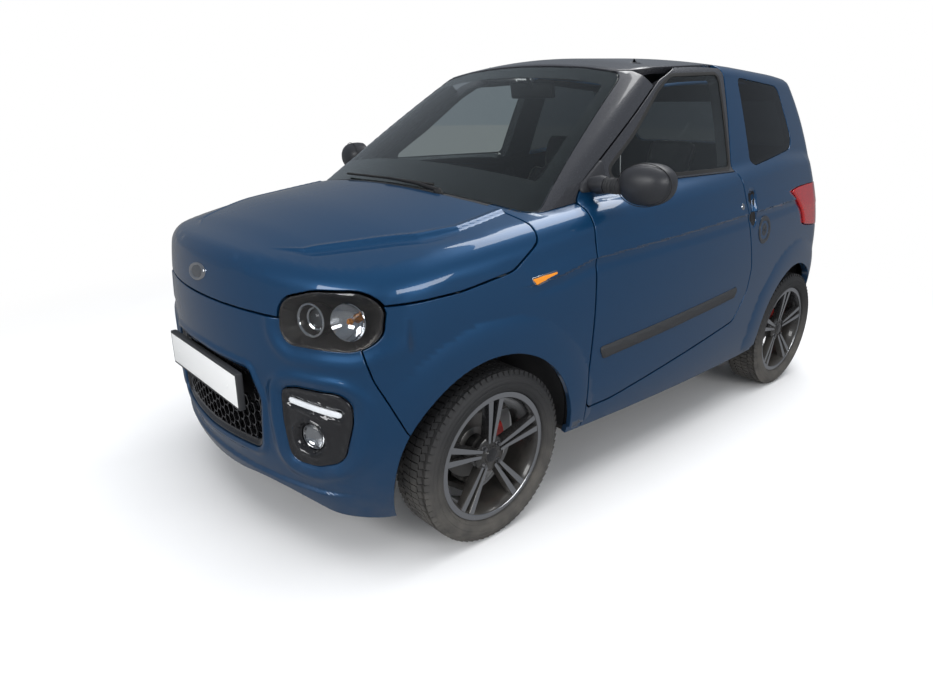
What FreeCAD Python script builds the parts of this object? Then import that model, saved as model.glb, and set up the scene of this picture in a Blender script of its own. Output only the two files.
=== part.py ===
import FreeCAD, Part
import math
import os
import Sketcher

# A two-seat microcar: plastic body on a light chassis, with doors, bonnet,
# tailgate, steering and four free wheels.
# Millimetres. +X is forward, +Y is the car's left, +Z is up, and the origin
# lies on the ground under the middle of the car.

V = FreeCAD.Vector
doc = FreeCAD.newDocument("Microcar")

# Driving sizes: name, value
driving = (
    ("body_length", 3000), ("body_width", 1480), ("roof_height", 1474),
    ("belt_height", 1040), ("sill_height", 245), ("skirt_height", 150),
    ("front_overhang", 586), ("wheelbase", 1930),
    ("wheel_inset_front", 102), ("wheel_inset_rear", 114),
    ("tyre_radius", 273), ("tyre_width", 160), ("tyre_shoulder", 20),
    ("rim_width", 132), ("rim_radius", 205), ("bead_radius", 189),
    ("barrel_radius", 172), ("barrel_wall", 7), ("hub_radius", 62),
    ("axle_radius", 14), ("axle_play", 0.08), ("disc_radius", 105),
    ("spoke_pair_width", 52), ("spoke_slot_width", 14), ("spoke_root", 78),
    ("arch_radius", 325), ("flare_width", 112), ("flare_height", 11), ("flare_fade", 20), ("bonnet_rise", 6),
    ("side_wall", 50), ("panel_wall", 22), ("frame_wall", 34),
    ("shoulder_radius", 70), ("roof_edge_radius", 45),
    ("glass_thickness", 5), ("panel_gap", 5), ("fit_gap", 0.3), ("seal_gap", 0.5),
    ("door_setback", 401), ("quarter_length", 205), ("door_draft", 0.3),
    ("tailgate_setback", 310),
    ("lamp_wall", 6), ("lens_thickness", 4), ("lamp_depth", 90),
    ("pod_proud", 5), ("pod_depth", 45),
    ("grille_inset", 12), ("grille_thickness", 12), ("mesh_pitch", 46), ("mesh_bar", 9),
    ("plate_width", 520), ("plate_height", 114), ("plate_centre", 497), ("plate_depth", 30),
    ("liner_wall", 6), ("liner_play", 6), ("liner_inner_front", 422), ("liner_inner_rear", 512),
    ("floor_thickness", 25), ("rail_width", 60), ("rail_height", 45), ("rail_centre", 330),
    ("firewall_thickness", 18), ("post_depth", 60),
    ("kingpin_top_y", 485), ("kingpin_top_z", 760), ("kingpin_low_y", 585), ("kingpin_low_z", 137),
    ("damper_radius", 20), ("spring_radius", 46), ("spring_length", 170),
    ("arm_thickness", 18), ("tower_radius", 72),
    ("engine_length", 400), ("engine_width", 560), ("engine_height", 400),
    ("radiator_width", 480), ("radiator_height", 300), ("radiator_depth", 36),
    ("exhaust_radius", 20), ("muffler_radius", 65), ("muffler_length", 380),
    ("seat_width", 440), ("seat_centre", 300), ("seat_depth", 440), ("seat_thickness", 110),
    ("seat_base_height", 190), ("seat_back_height", 560), ("seat_back_lean", 18),
    ("steering_radius", 175), ("steering_grip", 14), ("column_tilt", 26),
    ("mirror_width", 175), ("mirror_height", 128), ("mirror_depth", 110),
    ("strip_height", 56), ("strip_proud", 9),
    ("fuel_cap_radius", 58), ("fuel_cap_proud", 4),
)

sheet = doc.addObject("Spreadsheet::Sheet", "Sizes")
for row, (alias, value) in enumerate(driving, start=1):
    sheet.set("A%d" % row, alias)
    sheet.set("B%d" % row, str(value))
    sheet.setAlias("B%d" % row, alias)
doc.recompute()


def size(alias):
    return float(sheet.get(alias))


# Stations and heights that several pieces share
nose_x = size("body_length") / 2
tail_x = -nose_x
half_width = size("body_width") / 2
front_axle = nose_x - size("front_overhang")
rear_axle = front_axle - size("wheelbase")
hub_height = size("tyre_radius")
arch_radius = size("arch_radius")
gap = size("panel_gap")
fit = size("fit_gap")
stations = {
    "nose": nose_x,
    "axle": front_axle,
    "door": front_axle - size("door_setback"),
    "pillar": rear_axle + arch_radius + size("quarter_length"),
    "rear": rear_axle,
    "tail": tail_x,
}
far = 900.0

# The outlines below are drawn at these heights and this half width, and
# follow the sizes from there
drawn_levels = ((0, 0), (245, size("sill_height")), (1040, size("belt_height")), (1474, size("roof_height")))
drawn_half_width = 740.0


def level(z):
    for (low, low_now), (high, high_now) in zip(drawn_levels, drawn_levels[1:]):
        if z <= high or high == drawn_levels[-1][0]:
            return low_now + (z - low) * (high_now - low_now) / (high - low)


def across(y):
    return y * half_width / drawn_half_width


def placed(rows):
    return [(stations[anchor] + x, level(z), radius) for anchor, x, z, radius in rows]


def placed_front(rows):
    return [(across(y), level(z), radius) for y, z, radius in rows]


# Curves and outlines

def circles_meet(c1, r1, c2, r2):
    dx, dy = c2[0] - c1[0], c2[1] - c1[1]
    d = math.hypot(dx, dy)
    a = (r1 * r1 - r2 * r2 + d * d) / (2 * d)
    rise = math.sqrt(max(0.0, r1 * r1 - a * a))
    mx, my = c1[0] + a * dx / d, c1[1] + a * dy / d
    return [(mx + rise * dy / d, my - rise * dx / d), (mx - rise * dy / d, my + rise * dx / d)]


def on_circle(centre, towards, radius):
    dx, dy = towards[0] - centre[0], towards[1] - centre[1]
    d = math.hypot(dx, dy)
    return (centre[0] + dx * radius / d, centre[1] + dy * radius / d)


def between(centre, radius, a, b):
    return on_circle(centre, ((a[0] + b[0]) / 2, (a[1] + b[1]) / 2), radius)


def plan_loop(z, nose, nose_radius, nose_corner, half, middle, flank_radius, tail, tail_radius, tail_corner):
    """One closed plan section: nose, corners, flanks and tail as eight tangent arcs."""
    nose_centre = (nose - nose_radius, 0.0)
    flank_centre = (middle, half - flank_radius)
    tail_centre = (tail + tail_radius, 0.0)
    corner = max(circles_meet(nose_centre, nose_radius - nose_corner, flank_centre, flank_radius - nose_corner))
    back = min(circles_meet(tail_centre, tail_radius - tail_corner, flank_centre, flank_radius - tail_corner))
    p1 = on_circle(nose_centre, corner, nose_radius)
    p2 = on_circle(flank_centre, corner, flank_radius)
    p3 = on_circle(flank_centre, back, flank_radius)
    p4 = on_circle(tail_centre, back, tail_radius)
    m12 = between(corner, nose_corner, p1, p2)
    m23 = between(flank_centre, flank_radius, p2, p3)
    m34 = between(back, tail_corner, p3, p4)

    def left(p):
        return V(p[0], p[1], z)

    def right(p):
        return V(p[0], -p[1], z)

    arcs = [
        (right(p1), V(nose, 0, z), left(p1)), (left(p1), left(m12), left(p2)),
        (left(p2), left(m23), left(p3)), (left(p3), left(m34), left(p4)),
        (left(p4), V(tail, 0, z), right(p4)), (right(p4), right(m34), right(p3)),
        (right(p3), right(m23), right(p2)), (right(p2), right(m12), right(p1)),
    ]
    return Part.Wire([Part.Arc(*arc).toShape() for arc in arcs])


def outline(points, inset=0.0, closed=True):
    """Segments of a polygon with rounded corners, moved inwards by inset. Points are (u, v, corner radius)."""
    count = len(points)
    spots = [(p[0], p[1]) for p in points]
    radii = [float(p[2]) for p in points]
    turned = sum(spots[i][0] * spots[(i + 1) % count][1] - spots[(i + 1) % count][0] * spots[i][1]
                 for i in range(count))
    sign = 1 if turned > 0 else -1
    if closed and inset:
        moved, rounded = [], []
        for i in range(count):
            a, b, c = spots[i - 1], spots[i], spots[(i + 1) % count]
            d1 = (b[0] - a[0], b[1] - a[1])
            d2 = (c[0] - b[0], c[1] - b[1])
            l1, l2 = math.hypot(*d1), math.hypot(*d2)
            n1 = (-sign * d1[1] / l1, sign * d1[0] / l1)
            n2 = (-sign * d2[1] / l2, sign * d2[0] / l2)
            k = inset / (1 + n1[0] * n2[0] + n1[1] * n2[1])
            moved.append((b[0] + k * (n1[0] + n2[0]), b[1] + k * (n1[1] + n2[1])))
            convex = sign * (d1[0] * d2[1] - d1[1] * d2[0]) > 0
            change = -inset if convex else inset
            rounded.append(max(0.0, radii[i] + change) if radii[i] > 0 else 0.0)
        spots, radii = moved, rounded
    starts, ends, middles = [], [], []
    for i in range(count):
        if radii[i] <= 0 or (not closed and i in (0, count - 1)):
            starts.append(spots[i])
            ends.append(spots[i])
            middles.append(None)
            continue
        a, b, c = spots[i - 1], spots[i], spots[(i + 1) % count]
        u, w = (a[0] - b[0], a[1] - b[1]), (c[0] - b[0], c[1] - b[1])
        lu, lw = math.hypot(*u), math.hypot(*w)
        u, w = (u[0] / lu, u[1] / lu), (w[0] / lw, w[1] / lw)
        half_angle = math.acos(max(-1.0, min(1.0, u[0] * w[0] + u[1] * w[1]))) / 2
        run = radii[i] / math.tan(half_angle)
        bisector = (u[0] + w[0], u[1] + w[1])
        lb = math.hypot(*bisector)
        depth = radii[i] / math.sin(half_angle) - radii[i]
        starts.append((b[0] + u[0] * run, b[1] + u[1] * run))
        ends.append((b[0] + w[0] * run, b[1] + w[1] * run))
        middles.append((b[0] + bisector[0] / lb * depth, b[1] + bisector[1] / lb * depth))
    segments = []
    for i in range(count):
        if middles[i] is not None:
            segments.append((starts[i], middles[i], ends[i]))
        if i < count - 1 or closed:
            after = starts[(i + 1) % count]
            if math.hypot(after[0] - ends[i][0], after[1] - ends[i][1]) > 1e-6:
                segments.append((ends[i], after))
    return segments


def edges(segments, spot):
    shapes = []
    for segment in segments:
        ends = [spot(*p) for p in segment]
        curve = Part.Arc(*ends) if len(ends) == 3 else Part.LineSegment(*ends)
        shapes.append(curve.toShape())
    return shapes


def side_prism(points, inset=0.0, y_from=-far, y_to=far):
    """A side-view outline, swept across the car."""
    wire = Part.Wire(edges(outline(points, inset), lambda x, z: V(x, y_from, z)))
    return Part.Face(wire).extrude(V(0, y_to - y_from, 0))


def front_prism(points, inset=0.0, x_from=0.0, x_to=2000.0):
    """A front-view outline, swept along the car."""
    wire = Part.Wire(edges(outline(points, inset), lambda y, z: V(x_from, y, z)))
    return Part.Face(wire).extrude(V(x_to - x_from, 0, 0))


def mirrored(points):
    return [(-u, v, radius) for u, v, radius in reversed(points)]


def both_sides(shape):
    return [shape, shape.mirror(V(0, 0, 0), V(0, 1, 0))]


def slab(x_from, x_to, y_from, y_to, z_from, z_to):
    return Part.makeBox(x_to - x_from, y_to - y_from, z_to - z_from, V(x_from, y_from, z_from))


def along_y(radius, x, z, y_from, y_to):
    return Part.makeCylinder(radius, y_to - y_from, V(x, y_from, z), V(0, 1, 0))


def crowned(rows, inset, floor, axis_z):
    """A long top line, arched across the car about an axis far below it."""
    shifted = [(x, z - inset, radius + (inset if radius else 0)) for x, z, radius in rows]
    first, last = shifted[0], shifted[-1]
    shapes = edges(outline(shifted, closed=False), lambda x, z: V(x, 0, z))
    corners = [(last[0], last[1]), (last[0], floor), (first[0], floor), (first[0], first[1])]
    for a, b in zip(corners, corners[1:]):
        shapes.append(Part.LineSegment(V(a[0], 0, a[1]), V(b[0], 0, b[1])).toShape())
    face = Part.Face(Part.Wire(shapes))
    spread = 20
    face.rotate(V(0, 0, axis_z), V(1, 0, 0), -spread)
    return face.revolve(V(0, 0, axis_z), V(1, 0, 0), 2 * spread)


def round_top(shape, radius):
    """Rounds the edge between a body's flanks and its top."""
    chosen = []
    for edge in shape.Edges:
        kinds = set()
        for face in shape.ancestorsOfType(edge, Part.Face):
            name = face.Surface.TypeId
            if name == "Part::GeomBSplineSurface":
                kinds.add("flank")
            elif name != "Part::GeomPlane":
                kinds.add("top")
        if kinds == {"flank", "top"}:
            chosen.append(edge)
    return shape.makeFillet(radius, chosen)


# Sections of the lower body: height, nose set back, nose corner radius,
# side set in, tail set in, tail corner radius
lower_sections = (
    (130, 72, 250, 62, 62, 200),
    (230, 30, 270, 30, 26, 220),
    (430, 12, 290, 8, 4, 240),
    (640, 14, 300, 0, 4, 240),
    (860, 36, 300, 16, 42, 240),
    (1160, 155, 280, 90, 150, 240),
)
lower_nose_radius, lower_flank_radius, lower_tail_radius = 1300.0, 12000.0, 1600.0
# Bonnet and waist line, seen from the side: anchor, x, height, bend radius
waist_line = (
    ("nose", 120, 800, 0), ("nose", -62, 882, 250), ("nose", -400, 962, 1500), ("nose", -710, 1006, 1500),
    ("axle", -464, 1052, 1500), ("tail", 600, 1150, 2500), ("tail", 200, 1130, 1500), ("tail", -120, 1080, 0),
)
waist_axis = level(1040) - 3190.0

# Sections of the glasshouse: height, nose x from the front axle, side set in, tail x from the rear end
upper_sections = (
    (900, 28, 57, 60),
    (1100, -274, 118, 95),
    (1300, -584, 185, 180),
    (1500, -904, 262, 320),
)
upper_nose_radius, upper_flank_radius, upper_tail_radius = 1300.0, 9000.0, 1500.0
upper_nose_corner, upper_tail_corner = 110.0, 150.0
roof_line = (
    ("axle", 60, 1252, 0), ("axle", -914, 1449, 600), ("axle", -1364, 1474, 3000),
    ("tail", 500, 1453, 2500), ("tail", 50, 1405, 0),
)
roof_axis = level(1474) - 2804.0


def lower_hull(inset, rounded=True):
    loops = []
    for z, nose_in, corner, side_in, tail_in, back in lower_sections:
        loops.append(plan_loop(
            level(z), nose_x - nose_in - inset, lower_nose_radius - inset, corner - inset,
            half_width - side_in - inset, 0.0, lower_flank_radius - inset,
            tail_x + tail_in + inset, lower_tail_radius - inset, back - inset))
    loft = Part.makeLoft(loops, True, False)
    hull = loft.common(crowned(placed(waist_line), inset, 50, waist_axis))
    radius = size("shoulder_radius") - inset
    if rounded and radius > 8:
        hull = round_top(hull, radius)
    return hull


def upper_hull(inset, rounded=True):
    loops = []
    for z, nose, side_in, tail in upper_sections:
        loops.append(plan_loop(
            level(z), front_axle + nose - inset, upper_nose_radius - inset, upper_nose_corner - inset,
            half_width - side_in - inset, front_axle - 1214, upper_flank_radius - inset,
            tail_x + tail + inset, upper_tail_radius - inset, upper_tail_corner - inset))
    loft = Part.makeLoft(loops, True, False)
    hull = loft.common(crowned(placed(roof_line), inset, 850, roof_axis))
    radius = size("roof_edge_radius") - inset
    if rounded and radius > 8:
        hull = round_top(hull, radius)
    return hull


def flared(hull, axle, fade):
    """The hull with a low flare round the wheels of one axle, dying out towards the car's end."""
    moved = hull.copy()
    moved.translate(V(fade, size("flare_height"), 0))
    drum = along_y(arch_radius + size("flare_width"), axle, hub_height, 400, far)
    return hull.fuse(both_sides(moved.common(drum)))


def raised_centre(hull):
    """The hull with its bonnet's middle standing a little higher, between two folds."""
    half = [(nose_x - 128, 240), (nose_x - 190, 362), (nose_x - 308, 443), (nose_x - 440, 526),
            (nose_x - 560, 560), (front_axle - 300, 530)]
    corners = half + [(x, -y) for x, y in reversed(half)]
    points = [V(x, across(y), level(700)) for x, y in corners]
    moved = hull.copy()
    moved.translate(V(0, 0, size("bonnet_rise")))
    block = Part.Face(Part.makePolygon(points + points[:1])).extrude(V(0, 0, level(600)))
    return hull.fuse(moved.common(block))


# Side-view outlines: anchor, x, height, corner radius
arch_bottom = 100
bonnet_outline = placed((
    ("nose", 100, 736, 0), ("nose", -78, 736, 30), ("nose", -196, 796, 40), ("nose", -235, 790, 200),
    ("nose", -460, 803, 300), ("nose", -640, 833, 90), ("axle", -162, 905, 40), ("axle", -166, 955, 0),
    ("axle", -166, 1200, 0), ("nose", 100, 1200, 0),
))
bumper_outline = placed((
    ("nose", 100, arch_bottom, 0), ("nose", 100, 731, 0), ("nose", -80, 731, 20), ("nose", -182, 706, 0),
    ("nose", -212, 590, 160), ("axle", 296, 430, 120), ("axle", 255, 385, 0), ("axle", 200, arch_bottom, 0),
))
door_outline = (
    ("door", 0, 319, 30), ("door", 0, 985, 26), ("door", -44, 1042, 40), ("door", -340, 1236, 500),
    ("door", -528, 1361, 150), ("door", -650, 1408, 120), ("pillar", 14, 1428, 34), ("pillar", 86, 1048, 60),
    ("pillar", 40, 870, 200), ("pillar", -24, 650, 60), ("pillar", -14, 556, 90), ("pillar", 66, 443, 60),
    ("door", -125, 322, 400),
)
# How far the door's rear edge follows its slant, and where the skin lies there
door_skin = (0, 0, 0, 0, 0, 0, 498, 648, 700, 718, 720, 715, 0)
window_outline = placed((
    ("door", -128, 1046, 22), ("door", -330, 1180, 500), ("door", -508, 1322, 160), ("door", -600, 1374, 90),
    ("pillar", 64, 1394, 24), ("pillar", 104, 1053, 24),
))
quarter_outline = placed((
    ("pillar", -82, 1052, 26), ("pillar", -92, 1390, 30), ("pillar", -480, 1368, 60), ("pillar", -556, 1110, 60),
))
roof_edge = (
    ("axle", -500, 1600, 0), ("axle", -500, 1386, 0), ("axle", -824, 1388, 0), ("axle", -934, 1401, 200),
    ("axle", -1364, 1434, 1500), ("tail", 600, 1424, 800), ("tail", 150, 1385, 0), ("tail", 150, 1600, 0),
)
side_outline = placed((
    ("door", 2, 245, 0), ("door", 2, 400, 0), ("pillar", 150, 450, 0), ("pillar", 150, 1060, 0),
    ("pillar", 30, 1420, 0), ("pillar", 30, 1600, 0), ("tail", -100, 1600, 0),
    ("tail", -100, 612, 0), ("rear", -250, 612, 0), ("rear", -318, 245, 0),
))
rear_bumper_outline = placed((
    ("tail", -100, 150, 0), ("rear", -335, 150, 0), ("rear", -323, 245, 0), ("rear", -255, 607, 0),
    ("tail", -100, 607, 0),
))
# Front-view outlines: y, height, corner radius
screen_outline = placed_front((
    (-606, 940, 0), (606, 940, 0), (600, 985, 40), (466, 1380, 60), (300, 1404, 900), (0, 1420, 3500),
    (-300, 1404, 900), (-466, 1380, 60), (-600, 985, 40),
))
tailgate_outline = placed_front((
    (-470, 1600, 0), (470, 1600, 0), (470, 1300, 90), (545, 1060, 160), (560, 760, 60), (520, 618, 60),
    (-520, 618, 60), (-560, 760, 60), (-545, 1060, 160), (-470, 1300, 90),
))
rear_window_outline = placed_front((
    (-410, 1330, 50), (410, 1330, 50), (470, 1110, 50), (-470, 1110, 50),
))
lamp_outline = placed_front((
    (394, 664, 50), (392, 784, 60), (500, 818, 150), (640, 826, 60), (642, 670, 62),
))
pod_outline = placed_front((
    (384, 534, 30), (440, 549, 80), (589, 552, 44), (589, 470, 150), (567, 352, 60), (490, 322, 90),
    (404, 322, 42), (384, 440, 160),
))
grille_outline = placed_front((
    (-262, 562, 26), (0, 572, 900), (262, 562, 26), (306, 480, 50), (292, 318, 40), (0, 306, 900),
    (-292, 318, 40), (-306, 480, 50),
))
tail_lamp_outline = placed_front((
    (600, 960, 26), (676, 950, 30), (690, 760, 26), (612, 750, 26),
))


def add_part(name, shapes):
    """Stores a formed piece under its own name."""
    solids = []
    for shape in shapes if isinstance(shapes, list) else [shapes]:
        solids.extend(shape.Solids)
    piece = doc.addObject("Part::Feature", name)
    piece.Label = name
    piece.Shape = solids[0] if len(solids) == 1 else Part.makeCompound(solids)
    piece.Placement = FreeCAD.Placement()
    parts.append(piece)
    return piece


parts = []

# Hulls of the body and of the spaces inside it
lower = lower_hull(0)
lower_thin = lower_hull(size("panel_wall"))
lower_thick = lower_hull(size("side_wall"))
lower_seat = lower_hull(-fit, rounded=False)
within_thin = lower_hull(size("panel_wall") + fit, rounded=False)
within_thick = lower_hull(size("side_wall") + fit, rounded=False)
upper = upper_hull(0)
upper_inside = upper_hull(size("frame_wall"))
upper_glass = upper_hull(size("glass_thickness"), rounded=False)
outside = flared(lower, rear_axle, size("flare_fade")).fuse(upper)
inside = lower_thick.fuse(upper_inside)
side_shell = outside.common(slab(tail_x - 50, nose_x + 50, 200, far, 50, 1700)).cut(inside)


def wheel_openings(radius, y_from):
    """Round openings over the four wheels."""
    drums = []
    for x in (front_axle, rear_axle):
        drums.append(along_y(radius, x, hub_height, y_from, far))
        drums.append(along_y(radius, x, hub_height, -far, -y_from))
    return drums


openings_round_wheels = wheel_openings(arch_radius, 250)


def build_bonnet():
    clear = upper_hull(-gap - 3, rounded=False)
    panel = raised_centre(lower).common(side_prism(bonnet_outline)).cut([lower_thin, clear])
    panel = panel.cut([front_prism(lamp, -gap) for lamp in (lamp_outline, mirrored(lamp_outline))])
    add_part("bonnet", panel)


def build_bumper():
    panel = lower.common(side_prism(bumper_outline)).cut(lower_thin)
    cutters = [front_prism(lamp, -size("seal_gap")) for lamp in (lamp_outline, mirrored(lamp_outline))]
    cutters += [front_prism(pod, -size("seal_gap")) for pod in (pod_outline, mirrored(pod_outline))]
    cutters.append(front_prism(grille_outline))
    cutters.append(slab(0, 2000, -far, far, 0, size("skirt_height")))
    add_part("front_bumper", panel.cut(cutters + openings_round_wheels))


def build_wings():
    zone = placed((
        ("door", gap, 245, 0), ("door", gap, 1200, 0), ("axle", 150, 1200, 0), ("nose", 0, 1100, 0),
        ("nose", 0, 250, 0), ("axle", 250, 245, 0),
    ))
    panel = flared(lower, front_axle, -size("flare_fade")).common(side_prism(zone)).cut(lower_thin)
    under_screen = slab(front_axle - 700, nose_x, -across(618), across(618), level(600), level(1200))
    panel = panel.cut([side_prism(bonnet_outline, -gap), side_prism(bumper_outline, -gap / 2), under_screen])
    panel = panel.cut([front_prism(lamp, -gap / 2) for lamp in (lamp_outline, mirrored(lamp_outline))])
    add_part("wings", panel.cut(openings_round_wheels))


def door_cutter(inset, start=300):
    """The door's side view, drawn out so that its rear edge slants and can swing clear."""
    slant = size("door_draft")
    ends = []
    for y in (across(start), across(860)):
        rows = []
        for (x, z, radius), skin in zip(placed(door_outline), door_skin):
            shift = slant * (y - across(skin)) if skin else 0.0
            rows.append((x - shift, z, radius))
        ends.append(Part.Wire(edges(outline(rows, inset), lambda u, v: V(u, y, v))))
    return Part.makeLoft(ends, True, True)


def build_doors():
    window = side_prism(window_outline, 0.0, 200, far)
    door = side_shell.common(door_cutter(0.0, 430)).cut(window)
    glass = upper.common(side_prism(window_outline, size("seal_gap"), 200, far)).cut(upper_glass)
    for side, skin, pane in zip(("left", "right"), both_sides(door), both_sides(glass)):
        add_part("door_" + side, skin)
        add_part("door_glass_" + side, pane)


def build_sides():
    tailgate_front = tail_x + size("tailgate_setback") + gap
    tail_zone = slab(tail_x - 100, tailgate_front, -far, far, 0, 2000)
    tail_hole = front_prism(tailgate_outline, -gap, tail_x - 200, 0).common(tail_zone)
    lamp = front_prism(tail_lamp_outline, -size("seal_gap"), tail_x - 200, rear_axle)
    cutters = [door_cutter(-gap), tail_hole, lamp, side_prism(placed(roof_edge), -fit),
               side_prism(quarter_outline)] + openings_round_wheels
    side = side_shell.common(side_prism(side_outline, 0.0, 0, far)).cut(cutters)
    glass = upper.common(side_prism(quarter_outline, size("seal_gap"), 200, far)).cut(upper_glass)
    add_part("side_panels", both_sides(side))
    add_part("quarter_glass", both_sides(glass))
    lens = lower.common(front_prism(tail_lamp_outline, 0.0, tail_x - 200, rear_axle)).cut(lower_thin)
    add_part("tail_lamps", both_sides(lens))


def build_roof():
    tailgate_front = tail_x + size("tailgate_setback") + gap
    screen = front_prism(screen_outline)
    tail = slab(tail_x - 100, tailgate_front, -across(470) - gap, across(470) + gap, 0, 2000)
    shell = upper.cut(upper_inside)
    add_part("roof_panel", shell.common(side_prism(placed(roof_edge))).cut([screen, tail]))
    zone = side_prism(placed((
        ("axle", 60, 860, 0), ("axle", 60, 1386 - fit, 0), ("axle", -824, 1388 - fit, 0), ("door", -500, 1330, 0),
        ("door", gap, 900, 0),
    )))
    door = door_cutter(-gap)
    add_part("pillar_frames", shell.common(zone).cut([screen, lower_seat] + both_sides(door)))
    glass = upper.common(front_prism(screen_outline, size("seal_gap"))).cut([upper_glass, lower_seat])
    add_part("windscreen", glass)


def build_tail():
    zone = slab(tail_x - 100, tail_x + size("tailgate_setback"), -far, far, 0, 2000)
    panel = outside.common(front_prism(tailgate_outline, 0.0, tail_x - 200, 0).common(zone))
    add_part("tailgate", panel.cut([inside, front_prism(rear_window_outline, 0.0, tail_x - 200, 0)]))
    pane = front_prism(rear_window_outline, size("seal_gap"), tail_x - 200, 0).common(zone)
    add_part("rear_window", upper.common(pane).cut(upper_glass))
    bumper = lower.common(side_prism(rear_bumper_outline)).cut(lower_thin)
    add_part("rear_bumper", bumper.cut(openings_round_wheels))


def build_scuttle():
    """The cowl under the foot of the windscreen."""
    room = slab(front_axle - 300, front_axle, -across(606), across(606), level(932), level(1200))
    add_part("scuttle", room.common(lower).common(upper))


def build_lamps():
    wall = size("lamp_wall")
    lens = lower.common(front_prism(lamp_outline)).cut(lower_hull(size("lens_thickness"), rounded=False))
    add_part("headlamp_lenses", both_sides(lens))
    pocket = size("lens_thickness") + fit
    block = lower_hull(pocket, rounded=False).common(front_prism(lamp_outline, 0.0, front_axle + 200))
    block = block.cut(lower_hull(size("lamp_depth"), rounded=False))
    hollow = front_prism(lamp_outline, wall).cut(lower_hull(size("lamp_depth") - wall, rounded=False))
    add_part("headlamps", both_sides(block.cut(hollow)))


def hexagon(y, z, radius, x_from, x_to):
    corners = [V(x_from, y + radius * math.cos(k * math.pi / 3), z + radius * math.sin(k * math.pi / 3))
               for k in range(6)]
    return Part.Face(Part.makePolygon(corners + corners[:1])).extrude(V(x_to - x_from, 0, 0))


def build_grille():
    """A curved honeycomb that fills the bumper's mouth, with the plate holder in front of it."""
    inset, thick = size("grille_inset"), size("grille_thickness")
    band = lower_hull(inset, rounded=False).common(front_prism(grille_outline, fit))
    band = band.cut(lower_hull(inset + thick, rounded=False))
    pitch = size("mesh_pitch")
    cell = (pitch - size("mesh_bar")) / math.sqrt(3)
    centre = size("plate_centre")
    holes = []
    for column in range(-9, 10):
        y = column * pitch * math.sqrt(3) / 2
        for row in range(-4, 4):
            z = centre + (row + 0.5 * (column % 2)) * pitch
            reach = across(284)
            if abs(y) + cell > reach or z + cell > level(556) or z - cell < level(318):
                continue
            if abs(y) < size("plate_width") / 2 and abs(z - centre) < size("plate_height") / 2 - cell:
                continue
            holes.append(hexagon(y, z, cell, front_axle, nose_x + 50))
    add_part("grille", band.cut(holes))


def build_pods():
    proud = lower_hull(-size("pod_proud"), rounded=False)
    block = proud.common(front_prism(pod_outline, 0.0, front_axle)).cut(lower_hull(size("pod_depth"), rounded=False))
    lamp_y, lamp_z = across(512), level(412)
    lens = Part.makeCylinder(44, nose_x, V(front_axle + 505, lamp_y, lamp_z), V(1, 0, 0))
    add_part("lamp_pods", both_sides(block.cut(lens)))


def build_plates():
    wide, tall = size("plate_width"), size("plate_height")
    low = size("plate_centre") - tall / 2
    front = slab(nose_x - size("plate_depth"), nose_x, -wide / 2, wide / 2, low, low + tall)
    rear = front.mirror(V(0, 0, 0), V(1, 0, 0))
    mouth = lower_hull(size("grille_inset") - fit, rounded=False)
    add_part("number_plates", [front.cut(mouth), rear.cut(lower_seat)])


def build_liners():
    """Wheel housings behind the wings and quarters, with a tower over each front strut."""
    wall = size("liner_wall")
    radius = arch_radius + size("liner_play")
    foot = V(front_axle, size("kingpin_low_y"), size("kingpin_low_z"))
    head = V(front_axle, size("kingpin_top_y"), size("kingpin_top_z"))
    lean = (head - foot).normalize()
    liners = []
    for x, inner, within in ((front_axle, size("liner_inner_front"), within_thin),
                             (rear_axle, size("liner_inner_rear"), within_thick)):
        drum = along_y(radius + wall, x, hub_height, inner, far)
        hollow = along_y(radius, x, hub_height, inner + wall, far)
        if x == front_axle:
            cap = head + lean * (fit + wall)
            base = foot + lean * (hub_height + radius - foot.z - 40)
            tower = Part.makeCylinder(size("tower_radius"), (cap - base).Length, base, lean)
            bore = Part.makeCylinder(size("tower_radius") - wall, (cap - base).Length - wall, base, lean)
            drum = drum.fuse(tower)
            hollow = hollow.fuse(bore)
        open_low = slab(x - 500, x + 500, inner - 1, far, 0, level(262))
        open_inner = slab(x - 230, x + 230, inner - 1, inner + wall + 1, 0, hub_height + 150)
        liners.append(drum.cut([hollow, open_low, open_inner]).common(within))
    add_part("arch_liners", [half for liner in liners for half in both_sides(liner)])


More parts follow.
